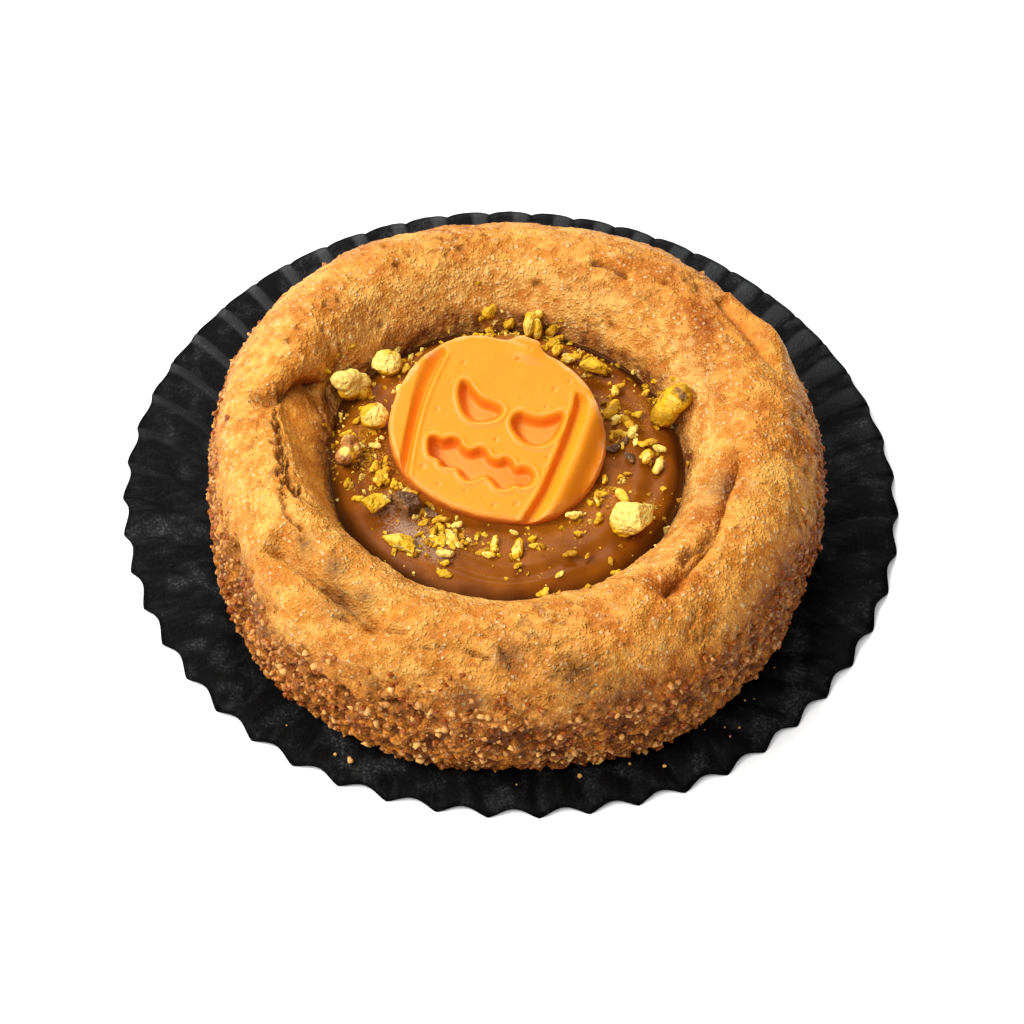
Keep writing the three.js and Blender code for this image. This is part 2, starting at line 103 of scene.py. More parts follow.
CREASES = [
    # the fold that hangs over the smooth inner wall
    crease([(174, 42.5, 21.5), (175, 40, 23), (173, 36, 24), (170, 33.6, 22.8), (165, 31.5, 21.6),
            (159, 28.8, 18.3)],
           width=1.4, depth=1.3, tear=1.7, dark=1.0, step=-2.3, wander=0.3, ends=(0.3, 0.05), shade=0.9),
    # the torn edge of the smooth inner wall, in two lines
    crease([(190, 34.8, 24), (197, 34.6, 24.1), (203, 34.3, 23.9), (207, 34, 23.6), (211, 33.5, 23),
            (216, 32, 22)],
           width=1.1, depth=0.3, tear=1.9, dark=1.0, step=0.35, wander=1.7, ends=(0.1, 0.15), shade=0.5),
    crease([(178, 36.4, 24.1), (184, 35.7, 24.2), (191, 35.6, 24.2), (198, 36.2, 24.3),
            (203, 36.5, 24.3)],
           width=0.9, depth=0.2, tear=1.5, dark=0.9, step=0.25, wander=1.4, ends=(0.1, 0.2), shade=0.3),
    # down the outer wall on the left
    crease([(206, 46.4, 18), (213, 47.2, 14), (221, 47.5, 10)],
           width=1.3, depth=1.3, tear=1.8, dark=1.0, step=1.0, wander=0.6, ends=(0.2, 0.2), shade=0.8),
    # the crack across the crown on the left of the front, under a raised edge
    crease([(216, 43, 22.6), (222, 41.4, 23.6), (229, 40.6, 23.8), (236, 40.4, 23.9), (242, 41.2, 23.5),
            (246, 42, 23)],
           width=1.9, depth=1.6, tear=2.5, dark=1.0, step=2.0, wander=0.8, ends=(0.12, 0.12), shade=1.0),
    # the soft fold on the right of the crown
    crease([(-6, 33.4, 23.2), (-14, 33.8, 23.4), (-25, 34, 23.5), (-38, 35.3, 24.2), (-50, 36.6, 24.3),
            (-56, 38, 24.2)],
           width=1.1, depth=1.2, tear=1.5, dark=0.9, step=-1.4, wander=0.35, ends=(0.15, 0.15),
           shade=0.5),
    crease([(-30, 33.2, 23.2), (-35, 33.9, 23.6), (-41, 33.6, 23.6), (-46, 34.6, 24.2)],
           width=0.6, depth=0.3, step=0.6, wander=0.6, shade=0.4),
    # the smooth groove on the far right and the lip outside it
    crease([(41, 40.4, 22.9), (35, 40.2, 23.2), (29, 40.4, 23.1), (23, 40.7, 22.9), (17, 41.3, 22.4)],
           width=1.0, depth=2.1, tear=0.6, dark=0.4, step=0.0, wander=0.1, ends=(0.08, 0.35), shade=0.0),
    crease([(42, 42.2, 21.8), (35, 42.6, 21.4), (27, 42.9, 21.1), (19, 43.7, 20.2)],
           width=1.3, depth=-0.9, tear=0.0, dark=0.0, step=0.0, wander=0.0, ends=(0.06, 0.3), shade=0.0),
    crease([(8, 42, 23), (0, 42.8, 22.6), (-8, 42, 23)],
           width=0.8, depth=0.6, step=0.5, ends=(0.2, 0.2), shade=0.3),
    # thin cracks
    crease([(237, 42.2, 22.3), (243, 41.5, 23), (247, 40.6, 23.3), (252, 40, 23.5)],
           width=0.6, depth=0.2),
    crease([(252, 41.6, 22.9), (258, 40.9, 23.2), (264, 41.2, 23.1), (268, 41.9, 22.8)],
           width=0.5, depth=0.2, tear=0.8, dark=0.7, step=0.2),
    crease([(-13, 41.6, 21.9), (-17, 42.5, 21.1), (-21, 42.9, 21)],
           width=0.5, depth=0.3, tear=0.9, dark=0.7, wander=0.4),
    crease([(205, 37.2, 24.3), (212, 37.4, 24.2), (219, 36.6, 24.3)],
           width=0.4, depth=0.2, tear=0.8, dark=0.7, step=0.1, wander=0.6, shade=0.0),
    crease([(248, 46.8, 14), (254, 46.7, 14.8), (260, 47.0, 13.4)],
           width=0.6, depth=0.4, tear=1.1, dark=0.9, step=0.5, shade=0.3),
    crease([(236, 47.1, 12.6), (240, 46.9, 13.6), (245, 47.2, 12.2)],
           width=0.6, depth=0.4, tear=1.2, dark=1.0, step=0.5, shade=0.3),
    crease([(60, 33.5, 23.6), (66, 34.4, 24.0), (71, 34.0, 23.9)],
           width=0.5, depth=0.3, tear=0.9, step=0.2),
    # the dark scar on the front
    crease([(269, 39.4, 23.9), (271, 41.4, 23.3), (272, 43, 22.3)],
           width=0.9, depth=0.4, dark=1.0, step=0.0, wander=0.6, ends=(0.2, 0.2), shade=0.4),
    crease([(281, 43.2, 22.2), (288, 43.4, 22), (295, 43.1, 22.2)],
           width=0.9, depth=0.4, tear=0.8, dark=0.7, wander=0.6, ends=(0.2, 0.2)),
]

# Broad swellings and hollows of the crust: (degrees, radius, height), reach, rise.
SWELLS = [
    ((176, 31.0, 21), 6.5, -1.5),
    ((192, 30.5, 21), 7.0, -1.0),
    ((157, 28.0, 17), 4.5, -2.4),
    ((28, 45.2, 19.5), 4.5, 1.2),
    ((150, 35, 24), 8, 0.7),
    ((95, 41, 23), 16, -1.05),
    ((228, 44.5, 20), 6.0, 0.7),
    ((-20, 39.5, 23.5), 7.0, 0.5),
]

CREAM = Sizes(
    level=15.2,
    dome=(-1.5, -2),
    dome_height=4.6,
    dome_radius=9.5,
    ripple_radius=20.5,
    ripple=0.8,
    ripple_width=2.0,
    edge_drop=1.9,
    edge_start=0.86,
    top_span=10.8,
)
WELL = np.array([DOUGH.x + DOUGH.well_shift[0], DOUGH.y + DOUGH.well_shift[1]])
WELL_RADIUS = DOUGH_SECTION[11][0]

PUMPKIN = Sizes(
    place=(-2.7, -6.4, 21.0),
    turns=(19.9, -1.7, -17.1),
    half_width=15.95,
    half_height=13.75,
    squareness=2.2,
    thickness=4.6,
    stem_height=1.85,
    stem_half_width=2.2,
    stem_x=-0.2,
    groove_depth=1.3,
    groove_wall=0.7,
    rib_width=2.1,
    rib_fall=2.3,
    recess=1.9,
)
# Its edge in section: (share of the outline, height), from the middle of the face outward.
PUMPKIN_EDGE = [
    (0.0, 0), (0.6, 0), (0.9, 0), (0.965, -0.1), (0.99, -0.45), (1.0, -1.4), (1.0, -3.0), (0.99, -4.6),
]
# How far the outline bulges beyond the plain one: (degrees, spread, distance).
PUMPKIN_BULGES = [(126, 22, 0.75), (315, 16, 0.45), (182, 30, -0.1), (5, 25, 0.3), (35, 12, -0.2)]
LEFT_EYE = [
    (-7.3, 5.3), (-6.2, 5.5), (-4.9, 4.6), (-3.4, 3.8), (-1.6, 3.7), (-0.2, 3.4), (0.3, 2.5),
    (-0.3, 1.2), (-1.7, 0.2), (-3.3, -0.3), (-5.0, 0.2), (-6.4, 1.7), (-7.3, 3.6),
]
RIGHT_EYE = [
    (1.6, 2.0), (1.9, 3.0), (2.8, 3.6), (4.3, 3.5), (5.9, 3.8), (7.3, 4.8), (8.3, 5.5), (9.0, 5.1),
    (9.2, 4.0), (9.1, 2.4), (8.6, 0.8), (7.4, -0.5), (5.9, -1.0), (4.2, -0.8), (2.8, 0.0), (1.9, 1.0),
]
MOUTH = [
    (-8.8, -4.9), (-8.0, -4.1), (-6.7, -4.2), (-5.6, -3.5), (-4.4, -3.5), (-3.5, -4.3), (-2.4, -4.5),
    (-1.3, -3.7), (-0.1, -3.7), (0.8, -4.5), (1.9, -4.6), (2.9, -3.9), (4.0, -4.0), (4.9, -4.7),
    (5.9, -4.3), (7.1, -4.3), (8.1, -5.3), (7.9, -6.8), (6.7, -7.6), (5.6, -7.7), (4.8, -8.6),
    (3.4, -8.9), (2.2, -8.2), (1.0, -7.8), (0.1, -8.6), (-1.1, -9.2), (-2.3, -8.8), (-3.3, -8.0),
    (-4.5, -8.2), (-5.6, -8.3), (-6.4, -7.5), (-7.9, -7.2),
]
# The bottoms of the two grooves, from the top down.
LEFT_GROOVE = [
    (-11.0, 15.0), (-11.5, 9.0), (-11.9, 4.2), (-11.9, 0.0), (-11.5, -4.1), (-10.9, -7.6),
    (-9.6, -14.5),
]
RIGHT_GROOVE = [
    (8.6, 15.0), (9.7, 9.4), (10.2, 6.8), (10.3, 4.0), (10.3, 0.3), (10.1, -3.5), (9.8, -7.7),
    (8.4, -14.5),
]


def kernel(x, y, size, turn, pale, lean=0, skin=0.0, lobes=()):
    """A large pistachio piece: size (long, wide, high), turn and lean in degrees, how pale it is,
    share of brown skin, and the rounded lobes (place, reach) of one that isn't broken flat."""
    return Sizes(x=x, y=y, size=size, turn=turn, lean=lean, skin=skin, pale=pale, lobes=lobes)


NUTS = [
    kernel(x=-24.9, y=4.2, size=(7.6, 4.4, 4.0), turn=14, lean=40, pale=1.0,
           lobes=[((-0.5, 0.1, 0.15), 0.56), ((-0.1, 0.35, 0.2), 0.5), ((0.45, 0.3, 0.1), 0.45),
                  ((0.62, -0.35, -0.1), 0.42), ((-0.05, -0.3, -0.2), 0.5)]),
    kernel(x=-19.8, y=9.1, size=(4.8, 4.6, 3.4), turn=40, lean=10, pale=0.85, lobes=[((0, 0, 0), 1.0)]),
    kernel(x=-21.0, y=-2.3, size=(4.4, 4.4, 3.6), turn=70, skin=0.1, pale=0.65,
           lobes=[((0, 0.1, 0), 0.95)]),
    kernel(x=-24.3, y=-9.3, size=(5.2, 3.6, 3.6), turn=70, lean=10, skin=0.56, pale=0.75,
           lobes=[((-0.45, 0, 0), 0.6), ((0.45, 0.3, 0.2), 0.45), ((0.2, -0.3, 0), 0.4)]),
    kernel(x=-19.6, y=-18.1, size=(4.2, 3.2, 2.8), turn=30, skin=0.2, pale=0.6),
    kernel(x=-15.2, y=-17.9, size=(4.4, 3.4, 2.8), turn=-20, skin=1.0, pale=0.0),
    kernel(x=-15.8, y=-25.1, size=(5.4, 2.6, 2.0), turn=-20, lean=5, skin=0.15, pale=0.6),
    kernel(x=17.6, y=-19.7, size=(6.6, 5.4, 5.2), turn=60, lean=15, pale=0.9),
    kernel(x=23.0, y=2.1, size=(8.0, 5.0, 4.0), turn=25, lean=40, skin=0.3, pale=0.35,
           lobes=[((-0.4, -0.1, 0), 0.6), ((0.38, 0.1, 0.05), 0.68), ((0, 0.05, 0.05), 0.58)]),
    kernel(x=2.1, y=17.8, size=(3.0, 3.6, 4.6), turn=0, lean=25, pale=0.55,
           lobes=[((-0.45, 0, 0.3), 0.58), ((0.45, -0.1, -0.1), 0.55), ((-0.1, 0, -0.5), 0.45)]),
    kernel(x=11.6, y=9.9, size=(4.6, 2.6, 2.2), turn=-15, skin=0.1, pale=0.35),
]
SKIN_SLOT_SHARE = 0.5  # from this share of skin on, a piece takes the finish of the skin

# Middling pieces on the cream: x, y, length, turn in degrees, tint, share of brown skin.
GRAINS = [
    (-12.5, -20.6, 1.7, 30, 0.5, 0), (-11.1, -22.0, 2.0, 80, 0.4, 0), (-9.7, -23.4, 1.9, 10, 0.6, 0),
    (-12.9, -23.0, 1.3, 50, 0.3, 0), (-8.2, -24.8, 1.6, 120, 0.5, 0), (-10.8, -25.0, 1.2, 0, 0.4, 0),
    (1.1, -24.7, 3.4, 80, 0.6, 0), (-2.1, -23.4, 2.3, 60, 0.7, 0), (3.5, -23.7, 1.6, 0, 0.6, 0),
    (-6.6, -23.9, 1.5, 20, 0.6, 0), (5.1, -31.6, 2.3, 35, 0.5, 0), (7.3, -28.7, 1.6, 60, 0.7, 0),
    (9.9, -21.1, 1.6, 0, 0.5, 0), (9.2, -17.8, 2.6, 25, 0.85, 0), (12.8, -18.4, 2.3, 70, 0.4, 0),
    (13.1, -13.6, 1.9, 20, 0.4, 0), (13.6, -10.9, 1.7, 80, 0.4, 0), (14.8, -12.4, 1.3, 0, 0.3, 0),
    (15.5, -27.0, 1.7, 20, 0.5, 0), (21.4, -8.2, 2.9, 75, 0.9, 0), (19.4, -6.4, 2.4, 40, 0.7, 0.3),
    (14.6, 2.4, 3.6, 60, 0.3, 0), (16.9, -0.4, 3.0, 140, 0.25, 0.2), (18.3, 1.6, 1.9, 20, 0.3, 0),
    (15.2, -2.0, 2.1, 0, 0.4, 0), (20.4, -3.6, 2.2, 10, 0.3, 0), (21.4, 6.5, 1.7, 50, 0.3, 0),
    (22.9, 8.8, 2.1, 80, 0.4, 0), (19.6, 7.0, 1.8, 30, 0.3, 0), (19.9, 9.6, 1.5, 0, 0.2, 0),
    (8.6, 12.8, 2.5, 20, 0.3, 0), (10.4, 13.0, 1.9, 60, 0.2, 0), (13.5, 10.6, 2.0, -30, 0.3, 0),
    (15.6, 7.4, 1.7, 30, 0.2, 0), (4.7, 18.4, 2.3, 80, 0.5, 0), (5.4, 16.3, 2.9, 40, 0.4, 0),
    (-4.7, 20.0, 2.9, 100, 0.4, 0), (-2.3, 19.4, 1.7, 30, 0.2, 0), (-0.6, 18.4, 1.4, 0, 0.3, 0),
    (-4.4, 17.2, 1.9, 20, 0.2, 0), (-8.0, 16.8, 1.5, 0, 0.3, 0), (-15.2, 12.6, 1.4, 30, 0.2, 0),
    (-17.0, 9.0, 2.2, 60, 0.5, 0), (-17.7, 11.2, 1.5, 0, 0.3, 0), (-20.3, -10.9, 2.3, 70, 0.4, 0),
    (-19.4, -13.4, 2.2, 100, 0.3, 0), (-17.3, -13.4, 1.9, 80, 0.4, 0), (-18.8, -9.4, 1.8, 90, 0.3, 0),
    (-20.7, -6.6, 1.4, 0, 0.3, 0), (-24.9, -4.3, 2.2, 30, 0.3, 0), (-23.6, -1.6, 1.7, 40, 0.3, 0),
    (-22.8, 0.9, 1.6, 0, 0.3, 0), (-22.3, -16.6, 1.9, 20, 0.4, 0), (-24.2, -13.6, 1.9, 80, 0.4, 0),
    (-9.2, -29.6, 2.4, 170, 0.4, 0), (-3.2, -25.6, 1.3, 80, 0.5, 0), (11.2, -25.4, 1.2, 60, 0.5, 0),
    (14.8, -5.0, 2.7, 20, 0.0, 1.0), (17.2, -6.6, 2.4, 110, 0.1, 1.0), (16.4, -3.4, 2.0, 60, 0.1, 1.0),
    (-11.6, -18.6, 2.4, -20, 0.0, 1.0), (-17.4, -16.2, 2.2, 10, 0.1, 1.0), (17.0, -9.6, 1.3, 0, 0.4, 0),
]

# Pieces that stand against the inner wall at the back: x, y, z, height, turn, tint.
PERCHED = [
    (-4.6, 20.6, 16.8, 3.4, 20, 0.45), (-1.8, 20.0, 15.0, 3.2, 70, 0.35),
    (4.9, 19.0, 15.0, 2.8, 40, 0.4), (2.2, 20.4, 16.6, 3.8, 10, 0.5), (-6.0, 20.4, 15.6, 2.0, 0, 0.3),
    (6.4, 18.0, 14.6, 2.0, 50, 0.3),
]

# Where fine grains lie: (x, y), reach and how many.
DUSTED = [
    ((-20.5, -9), 4.5, 1.0), ((-11.5, -21.5), 4.0, 1.2), ((-17, -14.5), 4, 0.8),
    ((-3.5, -23.5), 4.5, 0.8), ((5, -22), 4, 0.4), ((10, -18.5), 3.5, 0.8), ((13.2, -13), 3, 1.0),
    ((18, -15), 3.5, 0.5), ((16.5, 0), 4, 1.1), ((21, 6), 4, 1.0), ((11, 12), 4.5, 1.0),
    ((3, 19), 4.5, 1.0), ((-5, 18.5), 5, 0.8), ((-16.5, 10.5), 4, 0.8), ((-23, 1), 3.5, 0.8),
    ((-24, -5), 3, 0.8), ((20, -6.5), 3, 0.5), ((-9.5, -28.5), 3, 0.4), ((6, -30), 3, 0.25),
    ((-24.5, 9), 3, 0.6), ((22, -15), 3, 0.3),
]

# Where sugar lies on the cream: (x, y), reach.
FROSTED = [(-15.5, -21.5, 2.8), (-12.5, -24.5, 2.6), (-18.5, -17.5, 1.8), (-9.5, -26.5, 1.6)]

# Crumbs on the paper: x, y, reach.
LOOSE_CRUMBS = [
    (-21.0, -52.3, 0.55), (-23.2, -51.5, 0.25), (11.4, -53.0, 0.4), (18.4, -50.7, 0.26),
    (23.3, -50.9, 0.3), (35.0, -39.1, 0.22), (36.4, -38.6, 0.16), (32.0, -43.9, 0.16),
    (34.1, -43.7, 0.2), (32.7, -45.5, 0.18), (29.1, -44.4, 0.14), (-30.5, -47.0, 0.14),
    (2.5, -55.0, 0.13), (39.5, -33.0, 0.15),
]

CRUMBS = Sizes(
    count=48,
    smallest=0.75,
    largest=1.5,
    inner_radius=12.5,
    margin=0.7,
    seed=41,
    sparse=0.2,
    crowds=[(232, 24), (38, 32), (165, 30), (100, 12)],
)

# ---------------------------------------------------------------- numbers over a surface


def smoothstep(value, low, high):
    share = np.clip((value - low) / (high - low), 0, 1)
    return share * share * (3 - 2 * share)


def bell(distance, width):
    """A bump of height 1: 1 at distance 0, a third at one width."""
    return np.exp(-((distance / width) ** 2))


def lerp(start, end, share):
    return start + (end - start) * share


def lattice_value(x, y, z, seed):
    """A repeatable random number for each point, from -1 to 1."""
    wave = np.sin(x * 127.1 + y * 311.7 + z * 74.7 + seed * 53.3) * 43758.5453
    return 2 * (wave - np.floor(wave)) - 1


def noise(points, size, seed):
    """Smooth noise from -1 to 1 that changes over a distance of one size."""
    scaled = np.asarray(points, float) / size
    corner = np.floor(scaled)
    share = smoothstep(scaled - corner, 0, 1)
    total = 0
    for offset in np.ndindex(2, 2, 2):
        weight = np.prod(np.where(np.array(offset) == 1, share, 1 - share), axis=-1)
        x, y, z = np.moveaxis(corner + offset, -1, 0)
        total = total + weight * lattice_value(x, y, z, seed)
    return total


def cells(points, size, seed):
    """Scattered middles a size apart: the distance to the nearest and to the next nearest, in
    sizes, and a random number from 0 to 1 for the nearest."""
    scaled = np.asarray(points, float) / size
    corner = np.floor(scaled)
    nearest = np.full(scaled.shape[:-1], 9.0)
    second = nearest.copy()
    number = np.zeros_like(nearest)
    for offset in np.ndindex(3, 3, 3):
        x, y, z = np.moveaxis(corner + offset - 1, -1, 0)
        middle = [lattice_value(x, y, z, seed + k) * 0.42 + 0.5 for k in range(3)]
        distance = np.linalg.norm(np.stack([x, y, z], -1) + np.stack(middle, -1) - scaled, axis=-1)
        closer = distance < nearest
        second = np.where(closer, nearest, np.minimum(second, distance))
        nearest = np.where(closer, distance, nearest)
        number = np.where(closer, (1 + lattice_value(x, y, z, seed + 9)) / 2, number)
    return nearest, second, number


def smooth_line(points, spans, closed=False):
    """Places and directions on a smooth line through points, at places counted in spans."""
    points = np.array(points, float)
    count = len(points)
    last = count if closed else count - 1
    spans = np.asarray(spans, float)
    first = np.clip(np.floor(spans).astype(int), 0, last - 1)
    share = (spans - first)[..., None]

    def at(index):
        return points[index % count] if closed else points[np.clip(index, 0, count - 1)]

    before, start, end, after = (at(first + step) for step in (-1, 0, 1, 2))
    lean_in, lean_out = (end - before) / 2, (after - start) / 2
    cubic = 2 * (start - end) + lean_in + lean_out
    square = 3 * (end - start) - 2 * lean_in - lean_out
    place = ((cubic * share + square) * share + lean_in) * share + start
    way = (3 * cubic * share + 2 * square) * share + lean_in
    return place, way / np.linalg.norm(way, axis=-1, keepdims=True)


def polar_point(degrees, radius, height):
    angle = math.radians(degrees)
    return np.array([radius * math.cos(angle), radius * math.sin(angle), height])


# ---------------------------------------------------------------- meshes


def add_object(name, mesh):
    made = bpy.data.objects.new(name, mesh)
    bpy.context.scene.collection.objects.link(made)
    return made


def mesh_object(name, points, faces, values=None):
    """A smooth mesh object from points in millimetres, with a number for each point by name."""
    mesh = bpy.data.meshes.new(name)
    mesh.from_pydata((np.asarray(points) * MM).tolist(), [], faces)
    mesh.polygons.foreach_set("use_smooth", [True] * len(mesh.polygons))
    for label, numbers in (values or {}).items():
        attribute = mesh.attributes.new(label, "FLOAT", "POINT")
        attribute.data.foreach_set("value", np.asarray(numbers, np.float32).ravel())
    mesh.update()
    return add_object(name, mesh)


def ring_mesh(name, start, rings, end, values=None):
    """Closed mesh of rings of points between two poles. Rings run from the lower pole outward,
    up and in to the upper pole. values holds a number for each point of the rings, by name."""
    rows, sides, _ = rings.shape
    points = np.concatenate([[start], rings.reshape(-1, 3), [end]])
    column = np.arange(sides)
    following = (column + 1) % sides
    lower = 1 + np.arange(rows - 1)[:, None] * sides
    upper = lower + sides
    quads = np.stack([lower + column, lower + following, upper + following, upper + column], -1)
    last = len(points) - 1
    top = last - sides
    faces = quads.reshape(-1, 4).tolist()
    faces += [[0, 1 + n, 1 + c] for c, n in zip(column.tolist(), following.tolist())]
    faces += [[top + c, top + n, last] for c, n in zip(column.tolist(), following.tolist())]
    padded = {}
    for label, numbers in (values or {}).items():
        numbers = np.broadcast_to(numbers, (rows, sides))
        padded[label] = np.concatenate([[numbers[0].mean()], numbers.ravel(), [numbers[-1].mean()]])
    return mesh_object(name, points, faces, padded)


def dress(piece, material, slot, *nodes):
    """The finished piece rides on the one body, in its material, for the solids it stands for."""
    piece.data.materials.clear()
    piece.data.materials.append(material)
    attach(piece, "root")
    if nodes:
        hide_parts(*nodes)
    return piece


# ---------------------------------------------------------------- node trees


def operator(operation, is_swapped=False):
    """A math node as one of Python's operators."""
    def apply(wire, other):
        return wire.graph.math(operation, *((other, wire) if is_swapped else (wire, other)))
    return apply


class Wire:
    """A socket of a node tree that Python's operators work on, for numbers."""

    __add__, __radd__ = operator("ADD"), operator("ADD", True)
    __sub__, __rsub__ = operator("SUBTRACT"), operator("SUBTRACT", True)
    __mul__, __rmul__ = operator("MULTIPLY"), operator("MULTIPLY", True)
    __truediv__, __rtruediv__ = operator("DIVIDE"), operator("DIVIDE", True)
    __pow__ = operator("POWER")

    def __init__(self, graph, socket):
        self.graph = graph
        self.socket = socket

    def __neg__(self):
        return self.graph.math("MULTIPLY", self, -1)


class Graph:
    """Adds nodes to a tree and wires them."""

    def __init__(self, tree):
        self.tree = tree

    def node(self, kind, settings=None, inputs=None, output=0):
        """A node of a type, with its settings, then its sockets' values or wires."""
        made = self.tree.nodes.new(kind)
        for name, value in (settings or {}).items():
            if name == "stops":
                self.set_stops(made.color_ramp, value)
            else:
                setattr(made, name, value)
        for key, value in (inputs or {}).items():
            for entry in value if isinstance(value, list) else [value]:
                if isinstance(entry, Wire):
                    self.tree.links.new(entry.socket, made.inputs[key])
                else:
                    made.inputs[key].default_value = entry
        return Wire(self, made.outputs[output]) if made.outputs else made

    @staticmethod
    def set_stops(ramp, stops):
        while len(ramp.elements) < len(stops):
            ramp.elements.new(0.5)
        for element, (place, color) in zip(ramp.elements, stops):
            element.position = place
            element.color = (*color, 1)

    def math(self, operation, *values):
        return self.node("ShaderNodeMath", {"operation": operation}, dict(enumerate(values)))

    def vector(self, operation, *values):
        return self.node("ShaderNodeVectorMath", {"operation": operation}, dict(enumerate(values)))

    def join(self, x, y, z):
        return self.node("ShaderNodeCombineXYZ", {}, {0: x, 1: y, 2: z})

    def split(self, vector):
        return [self.node("ShaderNodeSeparateXYZ", {}, {0: vector}, axis) for axis in range(3)]

    def step(self, value, low, high):
        """From 0 at low to 1 at high, smoothly."""
        return self.node("ShaderNodeMapRange", {"interpolation_type": "SMOOTHSTEP"},
                         {"Value": value, "From Min": low, "From Max": high})

    def bell(self, distance, width):
        return self.math("EXPONENT", -((distance / width) ** 2))

    def mix(self, share, first, second):
        """Between two colours."""
        first, second = ((*c, 1) if isinstance(c, tuple) else c for c in (first, second))
        return self.node("ShaderNodeMix", {"data_type": "RGBA"}, {0: share, 6: first, 7: second}, 2)

    def grain(self, place, size, detail=2.0, seed=0.0, output=0):
        """Smooth noise from 0 to 1 in patches of a size in millimetres."""
        moved = self.vector("ADD", place, (seed, seed / 2, -seed))
        return self.node("ShaderNodeTexNoise", {},
                         {"Vector": moved, "Scale": 1 / (size * MM), "Detail": detail}, output)

    def pebbles(self, place, size, feature="F1", seed=0.0, output=0):
        """Distance, in sizes, to scattered middles a size in millimetres apart."""
        moved = self.vector("ADD", place, (seed, seed / 2, -seed))
        return self.node("ShaderNodeTexVoronoi", {"feature": feature},
                         {"Vector": moved, "Scale": 1 / (size * MM)}, output)

    def value(self, label):
        """The number that a mesh carries under a name."""
        return self.node("ShaderNodeAttribute", {"attribute_name": label}, {}, "Fac")

    def bump(self, height, depth, strength=1.0):
        """Fine relief of a height from 0 to 1, a depth in millimetres."""
        return self.node("ShaderNodeBump", {},
                         {"Height": height, "Distance": depth * MM, "Strength": strength})

    def place(self):
        return self.node("ShaderNodeTexCoord", {}, {}, "Object")

    def store(self, geometry, label, value, domain="POINT"):
        """The geometry with a number for each point or instance, by name."""
        return self.node("GeometryNodeStoreNamedAttribute", {"data_type": "FLOAT", "domain": domain},
                         {"Geometry": geometry, "Name": label, "Value": value})


def srgb(red, green, blue):
    """A colour given in 0 to 255, as a shader takes it."""
    shares = (red / 255, green / 255, blue / 255)
    return tuple(s / 12.92 if s <= 0.04045 else ((s + 0.055) / 1.055) ** 2.4 for s in shares)


def start_material(name):
    made = bpy.data.materials.new(name)
    made.use_nodes = True
    made.node_tree.nodes.clear()
    return made, Graph(made.node_tree)


def end_material(made, graph, **sockets):
    """The surface from the values or wires of its sockets, with words joined by underscores."""
    inputs = {name.replace("_", " "): value for name, value in sockets.items()}
    inputs = {name.replace("Ior", "IOR"): value for name, value in inputs.items()}
    surface = graph.node("ShaderNodeBsdfPrincipled", {}, inputs)
    graph.node("ShaderNodeOutputMaterial", {}, {"Surface": surface})
    return made


# ---------------------------------------------------------------- finishes


def crust_tones(graph, place):
    """Tones of the crust: of its crumb, of its fine beads and grit, and where it is sugared or
    porous."""
    crumb = graph.step(graph.grain(place, 1.3, 3.0, 0.2), 0.32, 0.68)
    coarse = graph.step(graph.grain(place, 3.2, 4.0, 0.4), 0.34, 0.66)
    wander = graph.grain(place, 0.7, 2.0, 0.15, output=1)
    moved = graph.vector("ADD", place, graph.vector("MULTIPLY", wander, (0.3 * MM, 0.3 * MM, 0.3 * MM)))
    beads = graph.step(graph.pebbles(moved, 0.55, seed=0.9), 0.5, 0.08)
    beads = 0.65 * beads + 0.6 * graph.step(graph.pebbles(moved, 1.0, seed=0.2), 0.42, 0.08)
    grit = graph.step(graph.grain(place, 0.26, 2.0, 0.7), 0.3, 0.7)
    some = graph.step(graph.grain(place, 1.9, 2.0, 0.8), 0.42, 0.6)
    sugar = graph.step(graph.pebbles(moved, 1.1, seed=0.5), 0.36, 0.14) * some
    pores = graph.step(graph.grain(place, 1.0, 2.0, 0.33), 0.3, 0.24)
    return crumb, coarse, beads, grit, sugar, pores


